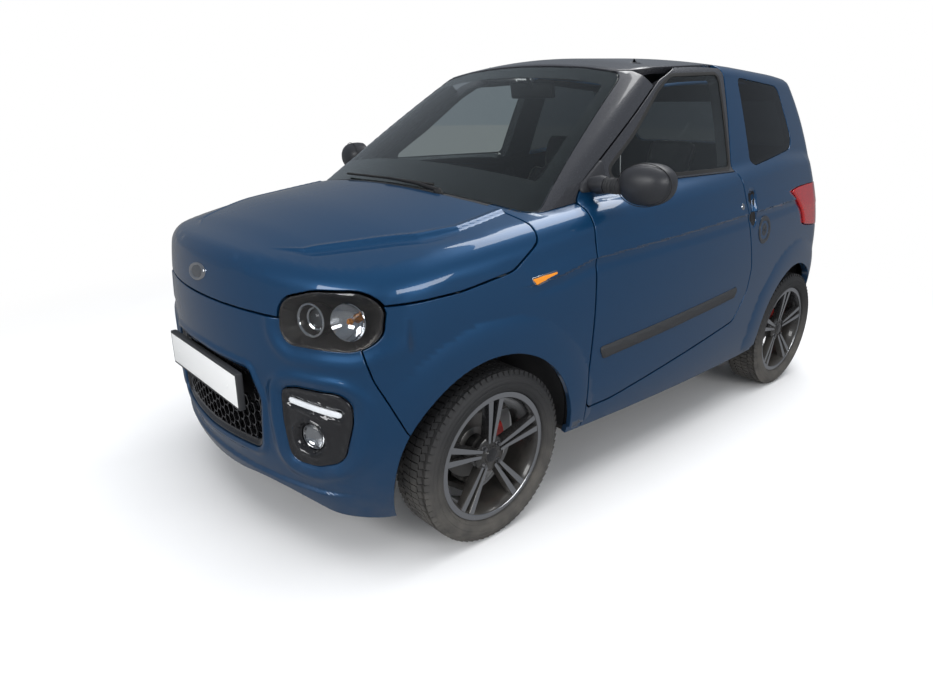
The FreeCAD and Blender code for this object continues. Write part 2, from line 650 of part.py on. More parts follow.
def build_floor():
    """Flat floor with a raised boot floor, chassis rails, firewall and door posts."""
    thick = size("floor_thickness")
    low, high = size("sill_height"), level(400)
    step = rear_axle + arch_radius + 75
    firewall = front_axle - 274
    post_from = stations["door"] + gap + 2
    rail, tall, centre = size("rail_width"), size("rail_height"), size("rail_centre")
    nose_end = nose_x - 130
    wide = slab(step, firewall, -far, far, low, low + thick)
    boot = slab(tail_x + 60, step, -far, far, high, high + thick)
    riser = slab(step, step + thick, -far, far, low, high + thick)
    cabin = wide.fuse([boot, riser]).common(within_thick)
    wall = slab(firewall, firewall + size("firewall_thickness"), -far, far, low, level(890))
    posts = [slab(post_from, post_from + size("post_depth"), y_from, y_to, low, level(900))
             for y_from, y_to in ((across(610), far), (-far, -across(610)))]
    # The bonnet rests on two posts at the front beam, the tailgate on its striker
    rests = [slab(nose_end - 40, nose_end - 10, y_from, y_from + 40, low, level(1100)) for y_from in (250, -290)]
    front = wall.fuse(posts + rests).common(within_thin)
    striker = slab(tail_x, tail_x + 110, -40, 40, high, level(690)).common(within_thick)
    brackets = [slab(tail_x, tail_x + 120, y_from, y_from + 40, high, high + thick).common(within_thin)
                for y_from in (250, -290)]
    rails = [slab(step - 150, nose_end, y - rail / 2, y + rail / 2, low - tall, low) for y in (centre, -centre)]
    beam = slab(nose_end - 60, nose_end, -centre - rail / 2, centre + rail / 2, low - tall, low + 20)
    legs = [slab(firewall, nose_end, y - rail / 2, y + rail / 2, low - tall, low + 1) for y in (centre, -centre)]
    floor = cabin.fuse([front, striker, beam] + brackets + rails + legs)
    room = arch_radius + size("liner_play") + size("liner_wall") + fit
    wells = []
    for x, inner in ((front_axle, size("liner_inner_front")), (rear_axle, size("liner_inner_rear"))):
        for half in both_sides(along_y(room, x, hub_height, inner - fit, far)):
            wells.append(half)
    add_part("floor_pan", floor.cut(wells).removeSplitter())


def build_engine():
    """A plain block for engine and gearbox on the rails, and the radiator behind the grille."""
    low = size("sill_height") + fit
    back = front_axle - 20
    block = slab(back, back + size("engine_length"), -size("engine_width") / 2, size("engine_width") / 2,
                 low + 1, low + 1 + size("engine_height"))
    front = nose_x - 130
    wide = size("radiator_width")
    radiator = slab(front - 50, front - 50 + size("radiator_depth"), -wide / 2, wide / 2,
                    low + 20, low + 20 + size("radiator_height"))
    add_part("engine", [block, radiator])


def rounded_plate(points, z, thickness):
    wire = Part.Wire(edges(outline(points), lambda x, y: V(x, y, z)))
    return Part.Face(wire).extrude(V(0, 0, thickness))


def build_front_suspension():
    """Lower arms on a cross member under the rails, and the steering rack."""
    thick = size("arm_thickness")
    top = size("kingpin_low_z") - fit
    reach = size("kingpin_low_y")
    centre = size("rail_centre")
    rail_low = size("sill_height") - size("rail_height")
    arm = rounded_plate([
        (front_axle + 112, 290, 10), (front_axle + 30, reach + 24, 26), (front_axle - 30, reach + 24, 26),
        (front_axle - 112, 290, 10),
    ], top - thick, thick)
    plate = slab(front_axle - 70, front_axle + 70, -centre, centre, top - thick, top)
    hangers = [slab(front_axle - 50, front_axle + 50, y - 26, y + 26, top - thick, rail_low)
               for y in (centre, -centre)]
    rack_x, rack_z = front_axle - 165, size("sill_height") + 38
    rack = along_y(20, rack_x, rack_z, -centre - 40, centre + 40)
    feet = [slab(rack_x - 14, rack_x + 14, y - 22, y + 22, size("sill_height") + 1, rack_z)
            for y in (centre, -centre)]
    beam = plate.fuse(both_sides(arm) + hangers)
    add_part("front_suspension", [beam, rack.fuse(feet)])


def build_knuckles():
    """Hub carrier with stub axle, strut, spring and brake caliper, turning about the strut's line."""
    foot = V(front_axle, size("kingpin_low_y"), size("kingpin_low_z"))
    head = V(front_axle, size("kingpin_top_y"), size("kingpin_top_z"))
    lean = (head - foot).normalize()
    span = (head - foot).Length
    inner_plane = half_width - size("wheel_inset_front") - size("rim_width") / 2
    boss_radius = 22
    lifted = boss_radius * abs(lean.y) / lean.z
    boss = Part.makeCylinder(boss_radius, 18, foot + lean * lifted, lean)
    upright = slab(front_axle - 34, front_axle + 34, inner_plane - 34, inner_plane + 10,
                   foot.z + 14, hub_height + 92)
    flange = along_y(44, front_axle, hub_height, inner_plane - 30, inner_plane + 14)
    stub = along_y(size("axle_radius"), front_axle, hub_height, inner_plane, inner_plane + 94)
    damper_foot = foot + lean * 150
    damper = Part.makeCylinder(size("damper_radius"), span - 190, damper_foot, lean)
    spring_base = foot + lean * (span - 20 - size("spring_length"))
    spring = Part.makeCylinder(size("spring_radius"), size("spring_length"), spring_base, lean)
    rod = Part.makeCylinder(11, span - 150, foot + lean * 150, lean)
    arm = slab(front_axle - 135, front_axle - 20, inner_plane - 34, inner_plane - 18, 205, 232)
    disc_in, disc_out = inner_plane + 18, inner_plane + 28
    caliper = slab(front_axle + 66, front_axle + 122, disc_in - 16, disc_out + 16, hub_height - 36, hub_height + 36)
    slot = along_y(size("disc_radius") + 4, front_axle, hub_height, disc_in - 4, disc_out + 4)
    bracket = slab(front_axle + 20, front_axle + 84, inner_plane - 6, inner_plane + 8, hub_height - 24, hub_height + 24)
    knuckle = boss.fuse([upright, flange, stub, damper, spring, rod, arm, caliper.cut(slot), bracket])
    for side, shape in zip(("left", "right"), both_sides(knuckle)):
        add_part("knuckle_" + side, shape)


def build_rear_suspension():
    """Trailing arms with stub axles, joined by a cross beam, and a spring on each arm."""
    inner_plane = half_width - size("wheel_inset_rear") - size("rim_width") / 2
    arm_y = inner_plane - 100
    pivot = (rear_axle + arch_radius + 110, size("sill_height") - 22)
    arm = side_prism([
        (pivot[0] + 30, pivot[1] - 24, 15), (pivot[0] + 30, pivot[1] + 16, 15), (pivot[0] - 62, pivot[1] + 16, 40),
        (rear_axle + 60, hub_height + 30, 30),
        (rear_axle - 45, hub_height + 42, 30), (rear_axle - 45, hub_height - 44, 30),
        (rear_axle + 60, hub_height - 40, 50),
    ], 0.0, arm_y - 18, arm_y + 18)
    flange = along_y(42, rear_axle, hub_height, arm_y, inner_plane + 12)
    stub = along_y(size("axle_radius"), rear_axle, hub_height, arm_y, inner_plane + 94)
    top = level(400) - fit
    spring = Part.makeCylinder(38, top - hub_height - 20, V(rear_axle + 30, arm_y - 10, hub_height + 20), V(0, 0, 1))
    pad = slab(rear_axle - 14, rear_axle + 74, arm_y - 54, arm_y + 18, hub_height + 12, hub_height + 26)
    half = arm.fuse([flange, stub, spring, pad])
    beam = along_y(26, rear_axle + 215, hub_height - 10, -arm_y, arm_y)
    ears = [slab(pivot[0] - 10, pivot[0] + 30, y - 18, y + 18, pivot[1], size("sill_height") - fit)
            for y in (arm_y, -arm_y)]
    add_part("rear_suspension", beam.fuse(both_sides(half) + ears))


def build_exhaust():
    """Downpipe, long pipe under the floor and a silencer across the tail."""
    radius = size("exhaust_radius")
    low, side = size("sill_height") - 42, -120
    engine_low = size("sill_height") + 1
    start = front_axle + 20
    box_x, box_z = tail_x + 250, low + 50
    pipe = Part.makeCylinder(radius, start - box_x, V(box_x, side, low), V(1, 0, 0))
    bend = Part.makeSphere(radius, V(start, side, low))
    down = Part.makeCylinder(radius, engine_low - low, V(start, side, low), V(0, 0, 1))
    silencer = along_y(size("muffler_radius"), box_x, box_z, side - 200, side - 200 + size("muffler_length"))
    strap = slab(box_x - 12, box_x + 12, side - 12, side + 12, box_z, level(400) - fit)
    hook = slab(-12, 12, side - 12, side + 12, low, size("sill_height") - fit)
    add_part("exhaust", pipe.fuse([bend, down, silencer, strap, hook]).removeSplitter())


def bound(item, **formulas):
    """Binds properties to formulas in the sheet's sizes; an underscore stands for the dot in a property's path."""
    for name, formula in formulas.items():
        item.setExpression(name.replace("_", "."), formula)
    return item


# Formulas for places that several bound pieces share
axle_x = {"front": "(Sizes.body_length / 2 - Sizes.front_overhang)",
          "rear": "(Sizes.body_length / 2 - Sizes.front_overhang - Sizes.wheelbase)"}
floor_top = "(Sizes.sill_height + Sizes.floor_thickness)"
seat_rear = "(" + axle_x["front"] + " - 1244)"


def box(name, x, y, z, length, width, height):
    item = doc.addObject("Part::Box", name)
    return bound(item, Placement_Base_x=x, Placement_Base_y=y, Placement_Base_z=z,
                 Length=length, Width=width, Height=height)


def fused(name, items):
    item = doc.addObject("Part::MultiFuse", name)
    item.Shapes = items
    return item


def gathered(name, items):
    item = doc.addObject("Part::Compound", name)
    item.Links = items
    return item


def keep(item):
    item.Label = item.Name
    parts.append(item)
    return item


def sketch_in(body, name, role):
    plane = [feature for feature in body.Origin.OriginFeatures if feature.Role == role][0]
    sketch = body.newObject("Sketcher::SketchObject", name)
    sketch.AttachmentSupport = (plane, [""])
    sketch.MapMode = "FlatFace"
    return sketch


def bound_polygon(sketch, corners):
    """A closed polygon whose corners are held by two formulas each."""
    spots = [[float(sketch.evalExpression(formula)) for formula in corner] for corner in corners]
    count = len(spots)
    for i in range(count):
        a, b = spots[i], spots[(i + 1) % count]
        sketch.addGeometry(Part.LineSegment(V(a[0], a[1], 0), V(b[0], b[1], 0)), False)
    for i in range(count):
        sketch.addConstraint(Sketcher.Constraint("Coincident", i, 2, (i + 1) % count, 1))
    for i, corner in enumerate(corners):
        for kind, value, formula in zip(("DistanceX", "DistanceY"), spots[i], corner):
            index = sketch.addConstraint(Sketcher.Constraint(kind, -1, 1, i, 1, value))
            sketch.setExpression("Constraints[%d]" % index, formula)


def revolved(body, sketch):
    turn = body.newObject("PartDesign::Revolution", sketch.Name + "_turned")
    turn.Profile = sketch
    turn.ReferenceAxis = (sketch, ["V_Axis"])
    turn.Angle = 360
    return turn


def around(body, feature, sketch, copies):
    pattern = body.newObject("PartDesign::PolarPattern", feature.Name + "_repeated")
    pattern.Originals = [feature]
    pattern.Axis = (sketch, ["N_Axis"])
    pattern.Angle = 360
    pattern.Occurrences = copies
    body.Tip = pattern
    return pattern


def stand_wheel(body, axle, side):
    """Puts a wheel, drawn about Z from its inner face outwards, on its axle."""
    inset = "Sizes.wheel_inset_" + axle
    place = "(Sizes.body_width / 2 - %s - Sizes.tyre_width / 2)" % inset
    sign, angle = ("", -90) if side == "left" else ("-", 90)
    body.Placement = FreeCAD.Placement(V(0, 0, 0), FreeCAD.Rotation(V(1, 0, 0), angle))
    bound(body, Placement_Base_x=axle_x[axle], Placement_Base_y=sign + place, Placement_Base_z="Sizes.tyre_radius")


# Corners of the tyre's section: radius and distance from the tyre's inner face.
# The first half runs from bead to tread; the second half mirrors it.
overhang = "(Sizes.tyre_width - Sizes.rim_width) / 2"
tyre_outer_side = (
    ("Sizes.bead_radius + 2.5", overhang + " + 12"), ("Sizes.rim_radius + 0.6", overhang + " + 8.4"),
    ("Sizes.rim_radius + 0.6", overhang + " - 0.5"), ("Sizes.rim_radius + 12", overhang + " * 0.4"),
    ("Sizes.rim_radius + 28", "0"), ("Sizes.tyre_radius - 22", "1"),
    ("Sizes.tyre_radius - 7", "Sizes.tyre_shoulder * 0.5"), ("Sizes.tyre_radius", "Sizes.tyre_shoulder * 1.2"),
)
tyre_inner_side = (
    ("Sizes.tyre_radius - 14", "Sizes.tyre_shoulder * 1.4"), ("Sizes.tyre_radius - 26", "11"),
    ("Sizes.rim_radius + 14", overhang + " * 0.4 + 12"), ("Sizes.bead_radius + 2.5", overhang + " + 27"),
)


def build_tyre(axle, side, name):
    body = doc.addObject("PartDesign::Body", name)
    sketch = sketch_in(body, name + "_section", "XZ_Plane")
    near = list(tyre_outer_side)
    far_side = [(r, "Sizes.tyre_width - (" + a + ")") for r, a in reversed(tyre_outer_side)]
    back = [(r, "Sizes.tyre_width - (" + a + ")") for r, a in reversed(tyre_inner_side)]
    bound_polygon(sketch, near + far_side + back + list(tyre_inner_side))
    revolved(body, sketch)
    stand_wheel(body, axle, side)
    keep(body)


def rim_section():
    """Corners of the rim's section, from the bore round the face and barrel to the brake disc."""
    wide = "Sizes.rim_width"
    wall = "Sizes.barrel_radius - Sizes.barrel_wall"
    rows = (
        ("Sizes.axle_radius + Sizes.axle_play", "18"), ("Sizes.axle_radius + Sizes.axle_play", "96"),
        ("0", "96"), ("0", wide + " - 16"), ("30", wide + " - 16"), ("34", wide + " - 21"),
        ("Sizes.hub_radius", wide + " - 21"), ("Sizes.barrel_radius", wide + " - 10"),
        ("Sizes.rim_radius - 19", wide), ("Sizes.rim_radius", wide), ("Sizes.rim_radius", wide + " - 8"),
        ("Sizes.bead_radius + 2", wide + " - 11"), ("Sizes.bead_radius", wide + " - 40"),
        ("Sizes.barrel_radius", wide + " - 48"), ("Sizes.barrel_radius", "44"), ("Sizes.bead_radius", "34"),
        ("Sizes.bead_radius + 2", "11"), ("Sizes.rim_radius", "8"), ("Sizes.rim_radius", "0"),
        ("Sizes.rim_radius - 19", "0"), (wall, "40"), (wall, wide + " - 40"),
        ("Sizes.barrel_radius - 22", wide + " - 34"), ("Sizes.hub_radius", wide + " - 46"),
        ("Sizes.hub_radius", "28"), ("Sizes.disc_radius", "28"), ("Sizes.disc_radius", "18"),
    )
    return [(radius, "%s + %s" % (overhang, along)) for radius, along in rows]


def cut_through_face(body, sketch, name):
    sketch.setExpression(".AttachmentOffset.Base.z", overhang + " + Sizes.rim_width - 49")
    pocket = body.newObject("PartDesign::Pocket", name)
    pocket.Profile = sketch
    pocket.Type = "ThroughAll"
    pocket.Reversed = True
    return pocket


def build_rim(axle, side, name, spokes=5):
    """A cast wheel with five pairs of spokes, its hub and the brake disc behind it."""
    body = doc.addObject("PartDesign::Body", name)
    section = sketch_in(body, name + "_section", "XZ_Plane")
    bound_polygon(section, rim_section())
    revolved(body, section)
    window = sketch_in(body, name + "_window", "XY_Plane")
    half = size("spoke_pair_width") / 2
    inner, outer = size("spoke_root"), size("barrel_radius") - 9
    turn = 2 * math.pi / spokes
    low, high = math.asin(half / inner), math.asin(half / outer)
    line_in, line_out = math.sqrt(inner ** 2 - half ** 2), math.sqrt(outer ** 2 - half ** 2)
    far_in = V(inner * math.cos(turn - low), inner * math.sin(turn - low), 0)
    far_out = V(outer * math.cos(turn - high), outer * math.sin(turn - high), 0)
    middle = V(0, 0, 0)
    upright = V(0, 0, 1)
    window.addGeometry(Part.LineSegment(V(line_in, half, 0), V(line_out, half, 0)), False)
    window.addGeometry(Part.ArcOfCircle(Part.Circle(middle, upright, outer), high, turn - high), False)
    window.addGeometry(Part.LineSegment(far_in, far_out), False)
    window.addGeometry(Part.ArcOfCircle(Part.Circle(middle, upright, inner), low, turn - low), False)
    for first, first_end, second, second_end in ((0, 2, 1, 1), (1, 2, 2, 2), (2, 1, 3, 2), (3, 1, 0, 1),
                                                 (1, 3, -1, 1), (3, 3, -1, 1)):
        window.addConstraint(Sketcher.Constraint("Coincident", first, first_end, second, second_end))
    window.addConstraint(Sketcher.Constraint("Horizontal", 0))
    window.addConstraint(Sketcher.Constraint("Angle", 2, turn))
    for constraint, formula in (
            (Sketcher.Constraint("Radius", 1, outer), "Sizes.barrel_radius - 9"),
            (Sketcher.Constraint("Radius", 3, inner), "Sizes.spoke_root"),
            (Sketcher.Constraint("DistanceY", -1, 1, 0, 1, half), "Sizes.spoke_pair_width / 2"),
            (Sketcher.Constraint("Distance", -1, 1, 2, half), "Sizes.spoke_pair_width / 2")):
        index = window.addConstraint(constraint)
        window.setExpression("Constraints[%d]" % index, formula)
    opening = cut_through_face(body, window, name + "_opening")
    around(body, opening, window, spokes)
    slot = sketch_in(body, name + "_slot", "XY_Plane")
    near, away = "Sizes.spoke_root + 18", "Sizes.barrel_radius - 16"
    bound_polygon(slot, (
        (near, "-Sizes.spoke_slot_width / 2"), (away, "-Sizes.spoke_slot_width / 2 - 2"),
        (away, "Sizes.spoke_slot_width / 2 + 2"), (near, "Sizes.spoke_slot_width / 2"),
    ))
    gap_cut = cut_through_face(body, slot, name + "_gap")
    around(body, gap_cut, slot, spokes)
    stand_wheel(body, axle, side)
    keep(body)


def build_wheels():
    for axle, front in (("front", "f"), ("rear", "r")):
        for side, hand in (("left", "l"), ("right", "r")):
            build_rim(axle, side, "rim_" + front + hand)
            build_tyre(axle, side, "tyre_" + front + hand)


def build_seats():
    """Two bucket seats: a pedestal with a back plate, and a pad for cushion and back."""
    frames, cushions, backs = [], [], []
    lean = size("seat_back_lean")
    base_top = "(" + floor_top + " + Sizes.seat_base_height - 60)"
    plate_x, plate_z = seat_rear + " - 4", base_top + " - 20"
    forward, up = "16.3", "(Sizes.seat_thickness + 26)"
    pad_x = "%s + %s * cos(Sizes.seat_back_lean) - %s * sin(Sizes.seat_back_lean)" % (plate_x, forward, up)
    pad_z = "%s + %s * sin(Sizes.seat_back_lean) + %s * cos(Sizes.seat_back_lean)" % (plate_z, forward, up)
    for side, sign in (("left", ""), ("right", "-")):
        y = "%sSizes.seat_centre - Sizes.seat_width / 2" % sign
        pedestal = box("pedestal_" + side, seat_rear, y + " + 30", floor_top, "Sizes.seat_depth - 60",
                       "Sizes.seat_width - 60", "Sizes.seat_base_height - 60")
        plate = box("back_plate_" + side, plate_x, y + " + 20", plate_z,
                    "16", "Sizes.seat_width - 40", "Sizes.seat_back_height + 40")
        plate.Placement = FreeCAD.Placement(V(0, 0, 0), FreeCAD.Rotation(V(0, -1, 0), lean))
        bound(plate, Placement_Base_x=plate_x, Placement_Base_y=y + " + 20",
              Placement_Base_z=plate_z, Placement_Rotation_Angle="Sizes.seat_back_lean")
        frames.append(fused("seat_frame_" + side, [pedestal, plate]))
        cushions.append(box("cushion_" + side, seat_rear + " + 10", y, base_top + " + Sizes.fit_gap",
                            "Sizes.seat_depth", "Sizes.seat_width", "Sizes.seat_thickness"))
        back = box("back_pad_" + side, "0", "0", "0", "Sizes.seat_thickness - 24", "Sizes.seat_width - 10",
                   "Sizes.seat_back_height - 60")
        rest = box("head_pad_" + side, "12", "Sizes.seat_width / 2 - 125", "Sizes.seat_back_height - 61",
                   "70", "240", "170")
        pad = fused("back_rest_" + side, [back, rest])
        pad.Placement = FreeCAD.Placement(V(0, 0, 0), FreeCAD.Rotation(V(0, -1, 0), lean))
        bound(pad, Placement_Base_x=pad_x, Placement_Base_y=y + " + 5", Placement_Base_z=pad_z,
              Placement_Rotation_Angle="Sizes.seat_back_lean")
        backs.append(pad)
    keep(gathered("seat_frames", frames))
    keep(gathered("seat_cushions", cushions))
    keep(gathered("seat_backs", backs))


def build_dashboard():
    """Dashboard across the cabin, with the steering column standing out of it."""
    front = front_axle - 274 - fit
    rows = [(front, level(690), 0), (front, level(924), 30), (front - 90, level(928), 60), (front - 250, level(926), 60),
            (front - 292, level(880), 40), (front - 262, level(800), 60), (front - 150, level(650), 60)]
    shelf = side_prism(rows, 0.0, -across(606), across(606)).common(lower_hull(size("side_wall") + 12, rounded=False))
    tilt = math.radians(size("column_tilt"))
    along = V(math.cos(tilt), 0, -math.sin(tilt))
    centre = steering_centre()
    start = centre + along * (46 + fit)
    column = Part.makeCylinder(26, 260, start, along)
    add_part("dashboard", shelf.fuse(column))


def steering_centre():
    return V(front_axle - 744, size("seat_centre"), level(890))


def build_steering_wheel():
    """Rim, hub and three spokes, square to the column."""
    hub = doc.addObject("Part::Cylinder", "steering_hub")
    bound(hub, Radius="Sizes.steering_grip + 32", Height="46")
    grip = doc.addObject("Part::Torus", "steering_grip_ring")
    bound(grip, Radius1="Sizes.steering_radius - Sizes.steering_grip", Radius2="Sizes.steering_grip",
          Placement_Base_z="6")
    spokes = []
    for index, angle in enumerate((0, 180, 270)):
        bar = box("steering_spoke_%d" % index, "0", "0", "0", "Sizes.steering_radius - Sizes.steering_grip", "36", "12")
        bar.Placement = FreeCAD.Placement(V(0, 0, 0), FreeCAD.Rotation(V(0, 0, 1), angle))
        side = math.radians(angle)
        bound(bar, Placement_Base_x=str(round(18 * math.sin(side), 6)), Placement_Base_y=str(round(-18 * math.cos(side), 6)))
        spokes.append(bar)
    wheel = fused("steering_wheel", [hub, grip] + spokes)
    tilt = size("column_tilt")
    turn = FreeCAD.Rotation(V(0, 1, 0), 90 + tilt).multiply(FreeCAD.Rotation(V(0, 0, 1), 90))
    wheel.Placement = FreeCAD.Placement(steering_centre(), turn)
    keep(wheel)


def skin_near(x_from, x_to, z_from, z_to, outwards):
    """The left skin between two stations, moved outwards a little, to lay trim on."""
    piece = outside.common(slab(x_from, x_to, 400, far, z_from, z_to))
    piece.translate(V(0, outwards, 0))
    return piece


def laid_on(points, proud):
    """A flat trim of the given side view, standing proud of the left skin."""
    xs, zs = [p[0] for p in points], [p[1] for p in points]
    room = (min(xs) - 30, max(xs) + 30, min(zs) - 30, max(zs) + 30)
    trim = skin_near(*room, proud).common(side_prism(points, 0.0, 400, far))
    return trim.cut(skin_near(*room, fit))


def build_trims():
    """Door mirror on its arm and base, and the rub strip along the door."""
    wires = []
    for along, share, corner in ((-0.3, 1.0, 46), (0.05, 0.98, 50), (0.32, 0.8, 42), (0.5, 0.42, 20)):
        wide, tall = size("mirror_width") * share / 2, size("mirror_height") * share / 2
        section = [(-wide, -tall, corner), (wide, -tall, corner), (wide, tall, corner), (-wide, tall, corner)]
        x = along * size("mirror_depth")
        wires.append(Part.Wire(edges(outline(section), lambda y, z: V(x, y, z))))
    egg = Part.makeLoft(wires, True, False)
    egg.rotate(V(0, 0, 0), V(0, 0, 1), 12)
    egg.translate(V(stations["door"] - 104, across(802), level(1046)))
    base_y = across(600)
    arm = Part.makeCylinder(24, across(760) - base_y, V(stations["door"] - 78, base_y, level(1036)), V(0, 1, 0))
    foot = side_prism(placed((
        ("door", -12, 1008, 10), ("door", -30, 1040, 10), ("door", -152, 1122, 14), ("door", -158, 1008, 12),
    )), 0.0, 500, across(664))
    room = (stations["door"] - 250, stations["door"] + 60, level(860), level(1300))
    mirror = egg.fuse([arm, foot]).cut(skin_near(*room, fit))
    strip = placed((
        ("door", -33, 529, 10), ("pillar", 83, 593, 10), ("pillar", 101, 593 - size("strip_height") * 0.8, 10),
        ("door", -59, 529 - size("strip_height") * 0.8, 10),
    ))
    rail = laid_on(strip, size("strip_proud"))
    for side, mirror_half, rail_half in zip(("left", "right"), both_sides(mirror), both_sides(rail)):
        add_part("door_trim_" + side, [mirror_half, rail_half])


def build_small_parts():
    """Round filler cap on the left quarter, and the repeater lamps on the wings."""
    cap_x, cap_z, radius = stations["pillar"] - 114, level(800), size("fuel_cap_radius")
    room = (cap_x - 90, cap_x + 90, cap_z - 90, cap_z + 90)
    cap = skin_near(*room, size("fuel_cap_proud")).common(along_y(radius, cap_x, cap_z, 400, far))
    add_part("fuel_cap", cap.cut(skin_near(*room, fit)))
    repeater = laid_on(placed((
        ("door", 288, 803, 6), ("door", 262, 776, 8), ("door", 172, 797, 8), ("door", 174, 815, 6),
    )), size("fuel_cap_proud"))
    add_part("side_repeaters", both_sides(repeater))


for build in (build_bonnet, build_bumper, build_wings, build_doors, build_sides, build_roof, build_tail,
              build_scuttle, build_lamps, build_grille, build_pods, build_plates, build_liners, build_floor,
              build_engine, build_front_suspension, build_knuckles, build_rear_suspension, build_exhaust,
              build_wheels, build_seats, build_dashboard, build_steering_wheel, build_trims, build_small_parts):
    build()

doc.recompute()
faults = []
for item in doc.Objects:
    if "Invalid" in item.State or "Error" in item.State:
        faults.append(item.Name)
for piece in parts:
    if piece.Shape.isNull() or not piece.Shape.isValid():
        faults.append(piece.Label)
if faults:
    raise SystemExit("not built: " + ", ".join(faults))

os.makedirs("parts", exist_ok=True)
for piece in parts:
    piece.Shape.exportStep("parts/%s.step" % piece.Label)
    print(piece.Label, len(piece.Shape.Solids), round(piece.Shape.Volume / 1e6, 3))
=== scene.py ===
import bpy, bmesh, math
import numpy as np
from mathutils import Vector, Matrix


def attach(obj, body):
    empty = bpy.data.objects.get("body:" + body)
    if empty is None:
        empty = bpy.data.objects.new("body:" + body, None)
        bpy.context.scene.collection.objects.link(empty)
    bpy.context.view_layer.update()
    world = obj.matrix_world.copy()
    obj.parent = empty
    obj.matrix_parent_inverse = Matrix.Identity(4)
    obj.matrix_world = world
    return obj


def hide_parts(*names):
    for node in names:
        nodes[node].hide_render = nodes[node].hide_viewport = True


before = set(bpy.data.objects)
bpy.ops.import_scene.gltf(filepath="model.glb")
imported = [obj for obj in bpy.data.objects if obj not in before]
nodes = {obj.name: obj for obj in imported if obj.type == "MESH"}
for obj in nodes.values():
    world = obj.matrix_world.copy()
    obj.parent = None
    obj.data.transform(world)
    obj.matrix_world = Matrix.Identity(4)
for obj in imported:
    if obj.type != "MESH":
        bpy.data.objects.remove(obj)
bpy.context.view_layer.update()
print("frame loaded:", len(nodes), "nodes")

# Materials

def setInputs(node, **values):
    for key, value in values.items():
        node.inputs[key.replace("_", " ")].default_value = value
    return node


def wire(tree, *links):
    # each link: a node, its output, the next node, its input
    for source, out, target, into in links:
        tree.links.new(source.outputs[out], target.inputs[into])


def newMaterial(name, base, roughness, **extra):
    material = bpy.data.materials.new(name)
    material.use_nodes = True
    setInputs(material.node_tree.nodes["Principled BSDF"], Base_Color=(*base, 1), Roughness=roughness, **extra)
    return material


def patterned(material, group, relief, distance, **values):
    # gives a material the colour, roughness and relief of a node group
    tree = material.node_tree
    shader, node = tree.nodes["Principled BSDF"], tree.nodes.new("ShaderNodeGroup")
    node.node_tree = group
    setInputs(node, **values)
    wire(tree, (node, "Color", shader, "Base Color"), (node, "Roughness", shader, "Roughness"))
    if relief:
        bump = setInputs(tree.nodes.new("ShaderNodeBump"), Strength=relief, Distance=distance)
        wire(tree, (node, "Height", bump, "Height"), (bump, "Normal", shader, "Normal"))
    return material


def mathNode(tree, operation, a, b):
    # a and b: numbers or sockets
    node = tree.nodes.new("ShaderNodeMath")
    node.operation = operation
    for slot, value in enumerate((a, b)):
        if isinstance(value, (int, float)):
            node.inputs[slot].default_value = value
        else:
            tree.links.new(value, node.inputs[slot])
    return node


def colourMix(tree, factor, dark, light):
    node = tree.nodes.new("ShaderNodeMix")
    node.data_type = "RGBA"
    for socket, value in (("Factor", factor), (6, dark), (7, light)):
        tree.links.new(value, node.inputs[socket])
    return node.outputs[2]


def groupShell(name, ins, outs):
    tree = bpy.data.node_groups.new(name, "ShaderNodeTree")
    for socket, kind, value in ins:
        made = tree.interface.new_socket(socket, in_out="INPUT", socket_type="NodeSocket" + kind)
        made.default_value = value
    for socket, kind in outs:
        tree.interface.new_socket(socket, in_out="OUTPUT", socket_type="NodeSocket" + kind)
    return tree, tree.nodes.new("NodeGroupInput"), tree.nodes.new("NodeGroupOutput")


def grainGroup():
    # mottled colour, roughness and height at one scale
    tree, inputs, outputs = groupShell(
        "surfaceGrain",
        [("Dark", "Color", (0, 0, 0, 1)), ("Light", "Color", (1, 1, 1, 1)), ("Scale", "Float", 400.0),
         ("Detail", "Float", 3.0), ("Rough Low", "Float", 0.4), ("Rough High", "Float", 0.6),
         ("Dust Height", "Float", 0.0), ("Dust", "Color", (0.22, 0.2, 0.17, 1))],
        [("Color", "Color"), ("Roughness", "Float"), ("Height", "Float")])
    make = tree.nodes.new
    place, noise, rough = make("ShaderNodeTexCoord"), make("ShaderNodeTexNoise"), make("ShaderNodeMapRange")
    apart, low = make("ShaderNodeSeparateXYZ"), setInputs(make("ShaderNodeMapRange"), From_Min=0.45, From_Max=0.10)
    cloud = setInputs(make("ShaderNodeTexNoise"), Scale=22, Detail=6)
    low.interpolation_type = "SMOOTHSTEP"
    wire(tree, (place, "Object", noise, "Vector"), (inputs, "Scale", noise, "Scale"),
         (inputs, "Detail", noise, "Detail"), (noise, "Fac", rough, "Value"), (inputs, "Rough Low", rough, "To Min"),
         (inputs, "Rough High", rough, "To Max"), (place, "Object", apart, "Vector"), (apart, "Z", low, "Value"),
         (place, "Object", cloud, "Vector"))
    tone = colourMix(tree, noise.outputs["Fac"], inputs.outputs["Dark"], inputs.outputs["Light"])
    dusty = mathNode(tree, "MULTIPLY", low.outputs["Result"], cloud.outputs["Fac"])
    amount = mathNode(tree, "MULTIPLY", dusty.outputs[0], inputs.outputs["Dust Height"])
    more = mathNode(tree, "MULTIPLY_ADD", amount.outputs[0], 0.4)
    soiled = colourMix(tree, amount.outputs[0], tone, inputs.outputs["Dust"])
    tree.links.new(soiled, outputs.inputs["Color"])
    wire(tree, (rough, "Result", more, 2), (more, 0, outputs, "Roughness"), (noise, "Fac", outputs, "Height"))
    return tree


grain = grainGroup()


def grained(name, dark, light, scale, roughness, bump=0.0, dust=0.0, **extra):
    # a finish with mottled colour, roughness and, where it has one, a fine relief
    return patterned(newMaterial(name, light, roughness[1], **extra), grain, bump, 0.001, Dark=(*dark, 1),
                     Light=(*light, 1), Scale=scale, Rough_Low=roughness[0], Rough_High=roughness[1],
                     Dust_Height=dust)


